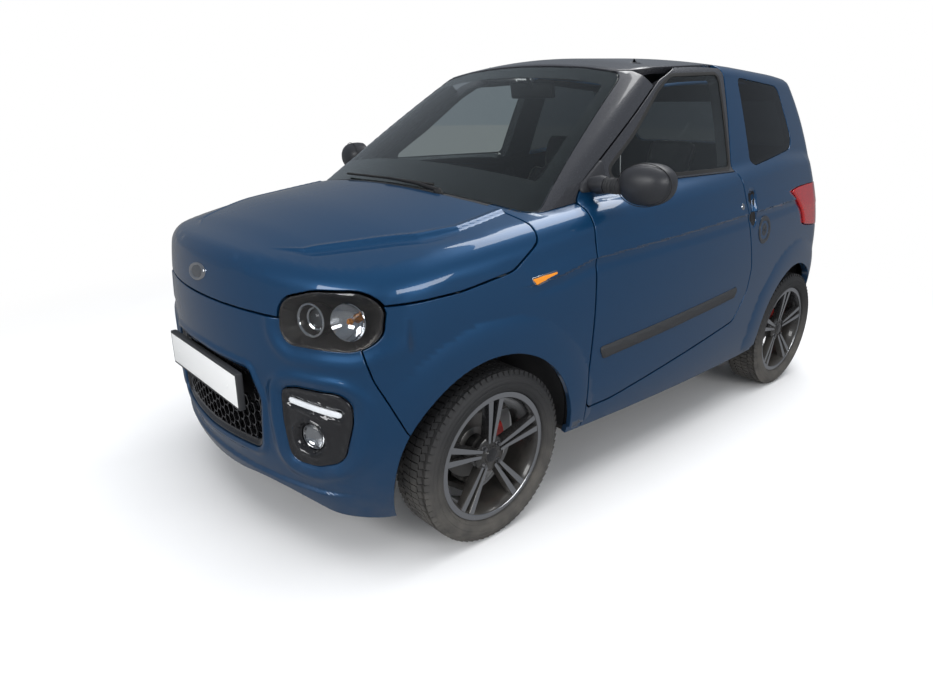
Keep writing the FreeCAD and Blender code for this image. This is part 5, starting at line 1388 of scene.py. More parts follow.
def makeCaliper():
    rows = [(0.074, 0.0230), (0.114, 0.0230), (0.122, 0.0300), (0.122, 0.0460), (0.114, 0.0640), (0.080, 0.0640),
            (0.078, 0.0480), (0.110, 0.0480), (0.110, 0.0270), (0.074, 0.0270)]
    return turned("caliperMaster", rows, [caliperRed], steps=14, closed=True, start=150, sweep=52)


def makeWheels():
    tyre, rim, caliper = makeTyre(), makeRim(), makeCaliper()
    for corner, (x, base) in wheelForm["centres"].items():
        place = Matrix.Translation((x, base, wheelForm["tyreRadius"]))
        if corner[1] == "r":
            place = Matrix.Rotation(math.pi, 4, "Z") @ Matrix.Translation((-x, base, wheelForm["tyreRadius"]))
        body = "wheel_" + corner
        settle(copyOf(tyre, "tyre" + corner.upper(), place), body, "tyre", "tyre_" + corner)
        settle(copyOf(rim, "rim" + corner.upper(), place), body, "alloy", "rim_" + corner)
        holder = {"fl": "knuckle_left", "fr": "knuckle_right"}.get(corner, "root")
        settle(copyOf(caliper, "caliper" + corner.upper(), place), holder, "alloy")
    for master in (tyre, rim, caliper):
        bpy.data.objects.remove(master)
    print("wheels")


# Lamps, grille and plates

def along(direction, place):
    # a matrix that lays a piece turned about Y along a direction
    d = Vector(direction).normalized()
    return Matrix.Translation(place) @ Vector((0, 1, 0)).rotation_difference(d).to_matrix().to_4x4()


def capsule(a, b, radius):
    # front-view field of a bar with round ends
    a, b = np.array(a), np.array(b)

    def at(p):
        q = p[:, [1, 2]]
        q[:, 0] = np.abs(q[:, 0])
        t = np.clip(((q - a) @ (b - a)) / ((b - a) @ (b - a)), 0, 1)
        return np.linalg.norm(q - a - t[:, None] * (b - a), axis=1) - radius
    return at


def bothWays(pieces, name):
    # a left piece and its mirror image as one
    left = fusedPieces(name + "Left", pieces)
    right = copyOf(left, name + "Right", Matrix.Scale(-1, 4, (0, 1, 0)))
    return fusedPieces(name, [left, right])


lampForm = {
    "bowlDepth": 0.052, "projector": (1.352, 0.462, 0.735), "projectorRadius": 0.047,
    "turn": (1.300, 0.566, 0.745), "turnRadius": 0.043,
}


def makeHeadlamps(front):
    shape = cutPanel(front, [within(lampField, seal)])
    lens = closePanel("headlampLens", shape, 0.0028, [clearLens], inset=0.0008)
    settle(lens, "root", "lens_clear", "headlamp_lenses")

    def dish(p):
        d = lampField(p)
        return -0.0045 - lampForm["bowlDepth"] * smooth(-d / 0.050) - 0.004 * smooth((-d - 0.006) / 0.004)
    bowl = closePanel("headlampBowl", pressForm(shape, dish), 0.002, [lampBowl, glossBlack])
    px, py, pz = lampForm["projector"]
    r = lampForm["projectorRadius"]
    shroud = turned("shroud", [(r, 0.0), (r, 0.030), (r - 0.002, 0.034), (r - 0.006, 0.035), (r - 0.009, 0.032),
                               (r - 0.016, 0.012), (r - 0.020, 0.010), (r - 0.020, 0.004), (r - 0.006, -0.010)],
                    [lampBowl, chrome], [0, 0, 1, 1, 0, 1, 1, 0, 0], steps=64, closed=True)
    ball = turned("ball", [(0.0, 0.022), (0.008, 0.0212), (0.015, 0.0185), (0.021, 0.0140), (0.0255, 0.0080),
                           (0.027, 0.003), (0.0, 0.003)], [projectorGlass], steps=48)
    reflector = [(0.005 + lampForm["turnRadius"] * t, 0.030 * t * t) for t in np.linspace(0, 1, 12)]
    back = [(q + 0.0015, a - 0.0015) for q, a in reversed(reflector)]
    cup = turned("cup", reflector + back, [chrome], steps=56, closed=True)
    bulb = turned("bulb", [(0.0, 0.026), (0.005, 0.025), (0.008, 0.021), (0.009, 0.015), (0.006, 0.006),
                           (0.006, -0.002), (0.0, -0.002)], [amberLens], steps=24)
    heading = (0.93, 0.34, 0.05)
    for part in (shroud, ball):
        placedMesh(part, along(heading, (px - 0.014, py, pz)))
    for part in (cup, bulb):
        placedMesh(part, along((0.86, 0.50, 0.06), lampForm["turn"]))
    inner = bothWays([shroud, ball, cup, bulb], "headlampUnits")
    settle(joinPieces("headlampInner", [bowl, inner]), "root", "lamp_bowl", "headlamps")


podForm = {"bar": ((0.416, 0.505), (0.556, 0.490)), "barRadius": 0.0105, "fog": (0.470, 0.402), "fogRadius": 0.053}


def makePods(front):
    fogY, fogZ = podForm["fog"]
    bar = capsule(*podForm["bar"], podForm["barRadius"])

    def form(p):
        d = podField(p)
        rim = 0.004 * smooth((d + 0.012) / 0.006)
        away = np.hypot(np.abs(p[:, 1]) - fogY, p[:, 2] - fogZ)
        ring = 0.005 * smooth(1 - np.abs(away - podForm["fogRadius"]) / 0.007)
        well = -0.034 * smooth((podForm["fogRadius"] - 0.006 - away) / 0.010)
        groove = -0.004 * smooth((0.004 - bar(p)) / 0.003)
        ledge = 0.0035 * np.exp(-((bar(p) - 0.010) / 0.0030) ** 2) * (away > podForm["fogRadius"] + 0.004)
        top = 0.0035 * smooth((p[:, 2] - 0.524 + 0.10 * (np.abs(p[:, 1]) - 0.42)) / 0.002)
        return -0.0055 + rim + ring + well + groove + ledge + top

    def nearDetail(p):
        away = np.hypot(np.abs(p[:, 1]) - fogY, p[:, 2] - fogZ)
        return np.minimum(np.abs(away - 0.048), np.abs(bar(p) - 0.005)) < 0.014
    shape = refine(cutPanel(front, [within(podField, seal)]), nearDetail)
    shell = closePanel("podShell", pressForm(shape, form), 0.003, [glossBlack])
    light = cutPanel(front, [within(bar, 0.001)])
    light = pressForm(light, lambda p: -0.0050 + 0.002 * smooth(-bar(p) / 0.008))
    light = closePanel("podLight", light, 0.004, [whiteLens])
    at = np.array([[1.402, fogY, fogZ]])
    normal = outward(lowerField, at)
    spot = at[0] - normal * 0.028
    glass = turned("fogGlass", [(0.0, 0.014), (0.014, 0.0128), (0.027, 0.0090), (0.036, 0.0030), (0.038, 0.0),
                                (0.0, -0.001)],
                   [clearLens], steps=56)
    cup = turned("fogCup", [(0.0, -0.010), (0.016, -0.008), (0.030, -0.002), (0.0365, 0.004), (0.0385, 0.002),
                            (0.0385, -0.012), (0.0, -0.014)], [chrome, glossBlack], [0, 0, 0, 1, 1, 1], steps=56)
    trim = turned("fogTrim", [(0.0405, 0.006), (0.0425, 0.0085), (0.0450, 0.0085), (0.0462, 0.005), (0.0440, 0.0),
                              (0.0405, 0.0)], [glossBlack], steps=64, closed=True)
    for part in (glass, cup, trim):
        placedMesh(part, along(normal, spot))
    settle(joinPieces("lampPods", [shell, light, bothWays([glass, cup, trim], "fogLamps")]), "root", "pod_black",
           "lamp_pods")


grilleForm = {"pitch": 0.034, "bar": 0.0032, "depth": 0.020, "back": 0.040, "frame": 0.020, "middle": 0.430,
              "plateHalf": (0.250, 0.045)}


plateForm = {"wide": 0.520, "tall": 0.114, "centre": 0.497}


def makeGrille(front):
    wall = pressForm(cutPanel(front, [within(grilleField, 0.001)]), lambda p: np.full(len(p), -grilleForm["back"]))
    wall = closePanel("grilleBack", wall, 0.002, [matteBlack])
    mouth = cutPanel(front, [within(grilleField, 0.0006), lambda p: -grilleForm["frame"] - grilleField(p)])
    mouth = pressForm(mouth, lambda p: -0.003 - 0.010 * smooth((-grilleField(p) - 0.004) / 0.012))
    mouth = closePanel("grilleMouth", mouth, 0.016, [glossBlack, matteBlack])
    pitch, (plateWide, plateTall) = grilleForm["pitch"], grilleForm["plateHalf"]
    spots = []
    for column in range(-12, 13):
        for row in range(-8, 9):
            y = column * pitch * math.sqrt(3) / 2
            z = grilleForm["middle"] + (row + 0.5 * (column % 2)) * pitch
            behindPlate = abs(y) < plateWide and abs(z - plateForm["centre"]) < plateTall
            if grilleField(np.array([[1.4, y, z]]))[0] <= -0.012 and not behindPlate:
                spots.append((y, z))
    spots = np.array(spots)
    origins = np.column_stack((np.full(len(spots), 0.95), spots))
    hits = castRays(origins, np.tile((1.0, 0.0, 0.0), (len(spots), 1)), lowerField)
    hits[:, 0] -= grilleForm["depth"]
    tree = Tree("honeycomb", [("Radius", "Float", 0.02), ("Bar", "Float", 0.003), ("Depth", "Float", 0.012)])
    ring = tree.node("GeometryNodeCurvePrimitiveCircle")
    profile = tree.node("GeometryNodeCurvePrimitiveQuadrilateral")
    ring.inputs["Resolution"].default_value = 6
    tube = tree.node("GeometryNodeCurveToMesh")
    place = setInputs(tree.node("GeometryNodeInstanceOnPoints"), Rotation=(0, math.radians(90), 0))
    turn = setInputs(tree.node("GeometryNodeTransform"), Rotation=(0, 0, math.radians(90)))
    start = tree.start
    tree.join((start, "Radius", ring, "Radius"), (start, "Bar", profile, "Width"),
              (start, "Depth", profile, "Height"),
              (ring, "Curve", tube, "Curve"), (profile, "Curve", tube, "Profile Curve"), (tube, 0, turn, 0),
              (start, "Geometry", place, "Points"), (turn, 0, place, "Instance"))
    tree.finish(place, 0, glossBlack)
    comb = tree.grow("honeycomb", hits, Radius=pitch / math.sqrt(3), Bar=grilleForm["bar"], Depth=0.010)
    comb.data.shade_flat()
    settle(joinPieces("grilleUnit", [wall, mouth, comb]), "root", "gloss_black", "grille")


def makePlates():
    parts = []
    wide, tall, z = plateForm["wide"], plateForm["tall"], plateForm["centre"]
    for side in (1, -1):
        x = bodyForm["nose"] * side
        parts += [
            block("plateHolder", (0.020, wide, tall), (x - side * 0.0120, 0, z), grainedPlastic, 0.004),
            block("plateSheet", (0.0030, wide - 0.016, tall - 0.016), (x - side * 0.0030, 0, z), plateWhite, 0.0014),
            block("plateClip", (0.006, wide * 0.34, 0.006), (x - side * 0.0035, 0, z - tall / 2 + 0.006),
                  grainedPlastic, 0.001),
        ]
        for y in (-0.19, 0.19):
            screw = turned("plateScrew", [(0.0, 0.0012), (0.003, 0.0010), (0.0042, 0.0), (0.0, -0.001)], [plateWhite],
                           steps=20)
            parts.append(placedMesh(screw, along((side, 0, 0), (x - side * 0.0014, y, z))))
        parts.append(block("plateMount", (0.030, wide * 0.5, tall * 0.6), (x - side * 0.034, 0, z), matteBlack,
                           0.003))
    settle(fusedPieces("numberPlates", parts), "root", "matte_plastic", "number_plates")


def makeBadge():
    at = np.array([[1.0, 0.0, 0.797]])
    hit = castRays(at, np.array([[1.0, 0.0, 0.0]]), lowerField)
    normal = outward(lowerField, hit)
    rows = [(0.0, 0.0042), (0.0165, 0.0036), (0.0180, 0.0028), (0.0192, 0.0034), (0.0205, 0.0050), (0.0225, 0.0056),
            (0.0250, 0.0048), (0.0265, 0.0026), (0.0268, -0.0030), (0.0, -0.0030)]
    badge = turned("badge", rows, [badgeGrey, chrome], [0, 0, 1, 1, 1, 1, 1, 1, 0], steps=72)
    placedMesh(badge, Matrix.Diagonal((2.2, 1, 1, 1)))
    settle(placedMesh(badge, along(normal, hit[0] - normal * 0.0006)), "bonnet", "gloss_black")


# Trim along the sides

trimForm = {
    "strip": placed((("door", -33, 529, 10), ("pillar", 83, 593, 10), ("pillar", 101, 548, 10),
                     ("door", -59, 484, 10))),
    "repeater": placed((("door", 288, 803, 6), ("door", 262, 776, 8), ("door", 172, 797, 8), ("door", 174, 815, 6))),
    "handle": placed((("pillar", 30, 968, 12), ("pillar", -30, 966, 22), ("pillar", -34, 830, 26),
                      ("pillar", -6, 818, 26), ("pillar", 26, 850, 16))),
    "cap": (-0.600, 0.800, 0.058), "lock": (-0.400, 0.908),
}
stripField, repeaterField = sideOutline(trimForm["strip"]), sideOutline(trimForm["repeater"])
handleField = sideOutline(trimForm["handle"])


def capField(p):
    return np.hypot(p[:, 0] - trimForm["cap"][0], p[:, 2] - trimForm["cap"][1]) - trimForm["cap"][2]


def makeMirror():
    # the housing is an egg with a flat back that holds the glass
    centre, turn = Vector((0.409, 0.796, 1.046)), Matrix.Rotation(math.radians(12), 4, "Z")
    sections = []
    for t, share in ((-0.33, 0.90), (-0.325, 0.955), (-0.30, 0.985), (-0.18, 1.0), (0.0, 0.985), (0.16, 0.93),
                     (0.29, 0.83), (0.39, 0.68), (0.46, 0.50), (0.495, 0.30), (0.51, 0.08)):
        sections.append([centre + (turn @ Vector((0.110 * t, y * (1 + 0.06 * s), z)))
                         for y, z, s in ovalLoop(56, 0.0860 * share, 0.0630 * share, (0.86, 0.92))])
    shell = swept("mirrorShell", sections, [mirrorPlastic], angle=60)
    line = [centre + (turn @ Vector((0.018, 0.0855 * math.cos(a), 0.0625 * math.sin(a)))) for a in circle(64)]
    seam = rod("mirrorSeam", line, 0.0012, matteBlack, sides=6, closed=True)
    glass = []
    for depth, share in ((-0.0372, 0.84), (-0.0385, 0.83)):
        glass.append([centre + (turn @ Vector((depth, 0.0875 * share * math.cos(a), 0.0630 * share * math.sin(a))))
                      for a in circle(48)])
    pane = swept("mirrorPane", glass, [mirrorGlass])
    bellows = [(0.435, 0.664 + 0.072 * k / 33, 1.037) for k in range(34)]
    waves = [0.0225 + 0.0030 * math.sin(k * math.pi / 2.2) - 0.0012 * k / 33 for k in range(34)]
    sleeve = rod("mirrorSleeve", bellows, waves, grainedPlastic, sides=28)
    arm = rod("mirrorArm", [(0.435, 0.600, 1.036), (0.435, 0.650, 1.036), (0.435, 0.672, 1.036)],
              [0.020, 0.030, 0.026], mirrorPlastic, sides=28)
    return [shell, seam, pane, sleeve, arm, foothold()]


def foothold():
    # the three-cornered plate in the front corner of the window
    corners = roundedPoints(placed((
        ("door", -16, 1012, 10), ("door", -34, 1040, 10), ("door", -148, 1114, 12), ("door", -152, 1012, 12))),
        step=0.004)
    hits = castRays(np.column_stack((corners[:, 0], np.full(len(corners), 0.30), corners[:, 1])),
                    np.tile((0.0, 1.0, 0.0), (len(corners), 1)), bodyField)
    middle = corners.mean(0)
    rings = []
    for share, rise in ((1.0, -0.012), (1.0, 0.001), (0.97, 0.0035), (0.90, 0.0055), (0.60, 0.0068), (0.05, 0.0072)):
        ring = []
        for corner, hit in zip(corners, hits):
            q = middle + (corner - middle) * share
            ring.append((q[0], hit[1] + rise + (1 - share) * (hits[:, 1].mean() - hit[1]), q[1]))
        rings.append(ring)
    return swept("mirrorFoot", rings, [mirrorPlastic], angle=30)


def makeTrim(flank, side, rear):
    strip = cutPanel(flank, [within(stripField)])
    strip = pressForm(strip, lambda p: 0.0035 + 0.0052 * smooth(-stripField(p) / 0.010) + flankForm(p))
    strip = closePanel("rubStrip", strip, 0.010, [grainedPlastic])
    mirror = fusedPieces("mirrorUnit", makeMirror())
    left = joinPieces("doorTrimLeft", [strip, mirror])
    onDoors(left, "doorTrimRight", "matte_plastic", "door_trim")
    lens = cutPanel(side, [within(repeaterField, 0.0035)])
    lens = closePanel("repeaterLens", pressForm(lens, lambda p: 0.0012 + 0.0022 * smooth(-repeaterField(p) / 0.008)),
                      0.004, [amberLens])
    edge = cutPanel(side, [within(repeaterField), lambda p: -0.0045 - repeaterField(p)], hem=0.0012)
    edge = closePanel("repeaterEdge", pressForm(edge, lambda p: np.full(len(p), 0.0024)), 0.004, [chrome], hem=0.0012)
    left = joinPieces("repeaterLeft", [lens, edge])
    settle(bothSidesPiece("repeaters", left), "root", "lens_amber", "side_repeaters")

    def capForm(p):
        r = capField(p) + trimForm["cap"][2]
        lock = 0.0018 * smooth((0.013 - r) / 0.002)
        return 0.0028 - 0.0040 * smooth((0.044 - r) / 0.006) + 0.0030 * smooth((0.026 - r) / 0.003) - lock
    cap = pressForm(refine(cutPanel(rear, [within(capField, 0.001)]), lambda p: capField(p) < 0), capForm)
    settle(closePanel("fuelCap", cap, 0.008, [capPlastic]), "root", "matte_plastic", "fuel_cap")

    grip = cutPanel(rear, [within(handleField, 0.004), outsideOf(doorField, gap)])
    grip = closePanel("handleCup", pressForm(grip, lambda p: handleForm(p) + 0.0012), 0.002, [matteBlack])
    settle(bothSidesPiece("handleCups", grip), "root", "matte_plastic")
    x, z = trimForm["lock"]
    hit = castRays(np.array([[x, 0.3, z]]), np.array([[0.0, 1.0, 0.0]]), bodyField)
    normal = slopes(bodyField, hit)[0]
    rows = [(0.0, 0.0020), (0.0012, 0.0020), (0.0014, 0.0034), (0.0085, 0.0036), (0.0100, 0.0030), (0.0120, 0.0022),
            (0.0132, 0.0008), (0.0132, -0.002), (0.0, -0.002)]
    lock = placedMesh(turned("doorLock", rows, [chrome], steps=40), along(normal, hit[0]))
    settle(copyOf(lock, "doorLockRight", Matrix.Scale(-1, 4, (0, 1, 0))), "door_right", "alloy")
    settle(lock, "door_left", "alloy")
    print("trim")


def handleForm(p):
    return -0.016 * smooth(-handleField(p) / 0.014)


def makeSeals(flank, top):
    # the rubber round each door window, which is also the belt strip at its foot, and the black band round the
    # windscreen
    ring = cutPanel(flank, [lambda p: windowField(p) - 0.011, lambda p: -0.002 - windowField(p),
                            within(doorField, 0.004)], hem=0.0015, fine=0)
    ring = closePanel("windowSeal", pressForm(ring, lambda p: np.full(len(p), 0.0010)), 0.005, [rubberSeal],
                      hem=0.0015)
    onDoors(ring, "windowSealRight", "gloss_black")
    band = cutPanel(top, [within(screenField, seal + 0.001), lambda p: 0.004 - lowerField(*p.T), lambda p: -p[:, 0],
                          lambda p: np.minimum(-0.040 - screenField(p), lowerField(*p.T) - 0.062)], rows=(), fine=0)
    band = closePanel("screenBand", band, 0.0008, [glossBlack], hem=0, inset=0.0062)
    settle(band, "root", "gloss_black")
    print("seals")


# Wiper

def screenPoint(y, rise):
    # a point on the windscreen at a height above its foot
    z = 0.955 + rise
    hit = castRays(np.array([[0.30, y, z]]), np.array([[1.0, 0.0, 0.0]]), upperField)[0]
    return hit + outward(upperField, hit[None]) * 0.010


def makeWiper():
    spots = [(0.265, 0.040), (0.16, 0.052), (0.0, 0.058), (-0.16, 0.056), (-0.285, 0.050)]
    line = [screenPoint(y, rise) for y, rise in spots]
    arm = []
    for k in range(len(line) - 1):
        for t in np.linspace(0, 1, 6, endpoint=False):
            arm.append(line[k] * (1 - t) + line[k + 1] * t)
    arm.append(line[-1])
    lift = [p + np.array((0.002, 0, 0.006)) for p in arm]
    count = len(arm)
    bar = rod("wiperArm", lift[:count // 2 + 2],
              [0.0075 - 0.0035 * k / (count // 2 + 1) for k in range(count // 2 + 2)], matteBlack, sides=10)
    blade = rod("wiperBlade", [screenPoint(y, 0.052 + 0.010 * math.cos(y * 4)) for y in np.linspace(0.22, -0.33, 26)],
                0.0042, rubberSeal, sides=8)
    boss = turned("wiperBoss", [(0.0, 0.012), (0.010, 0.011), (0.014, 0.006), (0.015, -0.012), (0.0, -0.012)],
                  [matteBlack], steps=28)
    placedMesh(boss, along((0.5, 0, 0.86), line[0]))
    settle(fusedPieces("wiper", [bar, blade, boss]), "root", "matte_plastic")


# Tail lamps

def makeTailLamps(rear):
    shape = cutPanel(rear, [within(tailLampField, seal), lambda p: p[:, 0] + 0.9])
    shape = pressForm(shape, lambda p: 0.0016 * smooth(-tailLampField(p) / 0.006))
    lens = closePanel("tailLens", shape, 0.018, [redLens])
    settle(bothSidesPiece("tailLamps", lens), "root", "lens_red", "tail_lamps")


# Cabin

seatForm = {
    "centre": 0.300, "cushion": (-0.320, 0.4003), "size": (0.440, 0.440, 0.110), "lean": 18.0,
    "back": (-0.3605, 0.5144), "backSize": (0.086, 0.430, 0.500), "head": (0.012, 0.240, 0.499, 0.170),
    "voxel": 0.013, "pressure": 4.0, "cap": 0.024, "backCap": 0.016, "frames": 20, "seamDepth": 0.0055,
    "seamWidth": 0.0075, "margin": 0.0006,
}


def padShape(name, size, bulge, crown=0.0, ends=0.75, power=0.42, count=17):
    # a soft block in its own frame: length along x, width along y, height along z
    length, width, height = size
    sections = []
    for k in range(count):
        t = k / (count - 1)
        end = (1 - abs(2 * t - 1) ** 5)
        a, b = width / 2 * (0.86 + 0.14 * end ** 0.5), height / 2 * (ends + (1 - ends) * end ** 0.5)
        loop = []
        for y, z, s in ovalLoop(52, a, b, (power, power)):
            rise = bulge * smooth((abs(y) / a - 0.56) / 0.26) - crown * (1 - (y / a) ** 2) if s > 0 else 0
            loop.append((length * t, y, height / 2 + z + rise * abs(s)))
        sections.append(loop)
    return swept(name, sections, [seatCloth], angle=180)


def puffed(piece, cap):
    # pressure swells the remeshed pad, and no point moves further than cap
    form = piece.modifiers.new("remesh", "REMESH")
    form.mode, form.voxel_size = "VOXEL", seatForm["voxel"]
    baked(piece)
    rest = np.array([v.co for v in piece.data.vertices])
    cloth = piece.modifiers.new("pressure", "CLOTH")
    cloth.settings.use_pressure, cloth.settings.uniform_pressure_force = True, seatForm["pressure"]
    cloth.settings.effector_weights.gravity = 0
    cloth.settings.quality = 4
    cloth.point_cache.frame_start, cloth.point_cache.frame_end = 1, seatForm["frames"]
    for step in range(1, seatForm["frames"] + 1):
        bpy.context.scene.frame_set(step)
    swollen = bpy.data.meshes.new_from_object(piece.evaluated_get(bpy.context.evaluated_depsgraph_get()))
    now = np.array([v.co for v in swollen.vertices])
    piece.modifiers.clear()
    bpy.context.scene.frame_set(1)
    move = now - rest
    far = np.linalg.norm(move, axis=1)
    now = rest + move * np.minimum(1, cap / np.maximum(far, 1e-9))[:, None]
    piece.data.vertices.foreach_set("co", now.astype(np.float32).ravel())
    piece.data.update()
    return piece


def stitched(piece, seams, room):
    # sews grooves into a pad, keeps it in its room and rounds it off
    count = len(piece.data.vertices)
    p, n = np.empty(count * 3, np.float32), np.empty(count * 3, np.float32)
    piece.data.vertices.foreach_get("co", p)
    piece.data.vertices.foreach_get("normal", n)
    p, n = p.reshape(-1, 3), n.reshape(-1, 3)
    depth = np.zeros(count)
    for line in seams:
        depth = np.maximum(depth, seatForm["seamDepth"] * np.exp(-(line(p) / seatForm["seamWidth"]) ** 2))
    p = p - n * depth[:, None]
    low, high = np.array(room[0]) + seatForm["margin"], np.array(room[1]) - seatForm["margin"]
    p = np.clip(p, low, high)
    piece.data.vertices.foreach_set("co", p.astype(np.float32).ravel())
    piece.data.update()
    finer = piece.modifiers.new("finer", "SUBSURF")
    finer.levels = finer.render_levels = 1
    baked(piece)
    piece.data.shade_smooth()
    return piece


def makeSeats():
    length, width, height = seatForm["size"]
    cushion = padShape("cushionForm", (length - 0.022, width - 0.026, height - 0.030), 0.010, crown=-0.004)
    placedMesh(cushion, Matrix.Translation((0.011, 0, 0.008)))
    cushion = stitched(puffed(cushion, seatForm["cap"]), [
        lambda p: np.where(p[:, 2] > 0.06, np.abs(np.abs(p[:, 1]) - 0.128 - 0.02 * p[:, 0]), 1),
        *(lambda p, at=at: np.where((p[:, 2] > 0.06) & (np.abs(p[:, 1]) < 0.13), np.abs(p[:, 0] - at), 1)
          for at in (0.345, 0.180)),
        lambda p: np.abs(p[:, 2] - 0.052)], ((0, -width / 2, 0), (length, width / 2, height)))
    thick, wide, tall = seatForm["backSize"]
    inward, headWide, headLow, headTall = seatForm["head"]
    back = padShape("backForm", (tall - 0.022, wide - 0.024, thick - 0.022), 0.010, crown=-0.002)
    head = padShape("headForm", (headTall - 0.020, headWide - 0.020, 0.050), 0.0, crown=-0.006)
    placedMesh(back, Matrix.Translation((0.011, 0, 0.006)))
    placedMesh(head, Matrix.Translation((headLow + 0.006, 0, inward + 0.008)))
    neck = padShape("neckForm", (0.050, 0.130, 0.040), 0.0)
    placedMesh(neck, Matrix.Translation((headLow - 0.024, 0, inward + 0.014)))
    back = fusedPieces("backPad", [back, head, neck])
    upright = Matrix(((0, 0, 1, 0), (0, 1, 0, 0), (1, 0, 0, 0), (0, 0, 0, 1)))
    back = stitched(placedMesh(puffed(back, seatForm["backCap"]), upright), [
        lambda p: np.where((p[:, 0] > 0.045) & (p[:, 2] < 0.49), np.abs(np.abs(p[:, 1]) - 0.135), 1),
        *(lambda p, at=at: np.where((p[:, 0] > 0.045) & (np.abs(p[:, 1]) < 0.137), np.abs(p[:, 2] - at), 1)
          for at in (0.14, 0.38)),
        lambda p: np.where(p[:, 2] > 0.53, np.abs(p[:, 0] - 0.047), 1)],
        ((0, -wide / 2, 0), (thick, wide / 2, headLow + headTall)))
    lean = Matrix.Rotation(-math.radians(seatForm["lean"]), 4, "Y")
    cushions, backs = [], []
    for side in (1, -1):
        y = side * seatForm["centre"]
        x, z = seatForm["cushion"]
        cushions.append(copyOf(cushion, "cushion", Matrix.Translation((x, y, z))))
        x, z = seatForm["back"]
        backs.append(copyOf(back, "back", Matrix.Translation((x, y, z)) @ lean))
    for master in (cushion, back):
        bpy.data.objects.remove(master)
    for name, pieces, node in (("seatCushions", cushions, "seat_cushions"), ("seatBacks", backs, "seat_backs")):
        piece = fusedPieces(name, pieces)
        piece.data.shade_smooth()
        settle(piece, "root", "seat_cloth", node)
    print("seats")


cabinForm = {"hood": (0.395, 0.300, 0.905), "vents": (-0.52, -0.09, 0.09, 0.52), "screen": (0.352, 0.0, 0.862)}


def makeCabin():
    x, y, z = cabinForm["hood"]
    sections = []
    for t, share in ((-0.055, 0.90), (-0.050, 0.97), (-0.030, 1.0), (0.030, 1.0), (0.080, 0.92), (0.120, 0.74),
                     (0.140, 0.50)):
        hood = ovalLoop(40, 0.128 * share, 0.062 * share, (0.7, 0.75))
        sections.append([(x + t, y + q, z + r) for q, r, _ in hood])
    parts = [swept("binnacle", sections, [dashPlastic], angle=50)]
    for side in (0.062, -0.062):
        dial = turned("dial", [(0.0, 0.0030), (0.036, 0.0030), (0.038, 0.0042), (0.041, 0.0042), (0.043, 0.0),
                               (0.0, -0.004)],
                      [screenShade, greyPlastic], [0, 0, 1, 1, 1], steps=48)
        parts.append(placedMesh(dial, along((-1, 0, 0), (x - 0.0545, y + side, z + 0.004))))
    cx, cy, cz = cabinForm["screen"]
    parts.append(block("centreStack", (0.030, 0.236, 0.150), (cx + 0.004, cy, cz - 0.030), dashPlastic, 0.008))
    parts.append(block("display", (0.006, 0.168, 0.100), (cx - 0.012, cy, cz - 0.014), screenShade, 0.002))
    ventRows = [(0.0, 0.004), (0.006, 0.004), (0.008, 0.001), (0.026, 0.001), (0.029, 0.006), (0.034, 0.007),
                (0.037, 0.003), (0.037, -0.016), (0.0, -0.016)]
    for side in cabinForm["vents"]:
        vent = turned("vent", ventRows, [matteBlack, greyPlastic], [0, 0, 0, 0, 1, 1, 1, 0], steps=48)
        parts.append(placedMesh(vent, along((-1, 0, 0.25), (0.356, side, 0.895))))
        for k in (-1, 0, 1):
            parts.append(block("ventBar", (0.004, 0.046, 0.003), (0.350, side, 0.896 + 0.011 * k), dashPlastic,
                               0.001))
    settle(fusedPieces("dashFittings", parts), "root", "dash_plastic")

    pad = []
    for t, share in ((-0.030, 0.96), (0.0, 1.0), (0.010, 0.97), (0.017, 0.86), (0.021, 0.60), (0.0225, 0.15)):
        pad.append([(q, t, r) for q, r, _ in ovalLoop(48, 0.062 * share, 0.052 * share, (0.75, 0.75))])
    tilt = math.radians(26)
    hub = swept("wheelPad", pad, [dashPlastic], angle=50)
    placedMesh(hub, along((-math.cos(tilt), 0, math.sin(tilt)), (0.170, 0.300, 0.890)))
    settle(hub, "steering_wheel", "dash_plastic")

    lean = Matrix.Rotation(math.radians(12), 3, "Y")
    mirror = block("innerMirror", (0.022, 0.230, 0.062), (0.070, 0, 1.330), dashPlastic, 0.009, lean)
    pane = block("innerMirrorPane", (0.002, 0.214, 0.048), (0.0585, 0, 1.3275), mirrorGlass, 0.0008, lean)
    stalk = rod("innerMirrorStalk", [(0.080, 0, 1.340), (0.100, 0, 1.372), (0.110, 0, 1.4000)], [0.008, 0.007, 0.012],
                dashPlastic)
    settle(fusedPieces("cabinMirror", [mirror, pane, stalk]), "root", "dash_plastic")
    print("cabin")


plainFinishes = {
    "scuttle": grainedPlastic, "dashboard": dashPlastic, "steering_wheel": dashPlastic, "seat_frames": greyPlastic,
    "floor_pan": steelDark, "arch_liners": matteBlack, "engine": engineMetal, "exhaust": exhaustSteel,
    "front_suspension": steelDark, "rear_suspension": steelDark, "knuckle_left": steelDark,
    "knuckle_right": steelDark,
}


def finishNodes():
    for name, material in plainFinishes.items():
        for slot in nodes[name].material_slots:
            slot.material = material


makeSheets()
makeFrontPanels()
makeSidePanels()
makeTailPanels()
makeGlass()
makeWheels()
makeHeadlamps(sheets["front"])
makePods(sheets["front"])
makeGrille(sheets["front"])
makePlates()
makeBadge()
makeTrim(sheets["flank"], sheets["side"], sheets["rear"])
makeSeals(sheets["flank"], sheets["top"])
makeWiper()
makeTailLamps(sheets["rear"])
makeSeats()
makeCabin()
finishNodes()


# Camera, floor and light

view = {"place": (2.1553, 1.9585, 1.2433), "yaw": 228.28, "pitch": -19.68, "roll": 0.0105, "focus": 662.73,
        "across": 933, "sensor": 36}


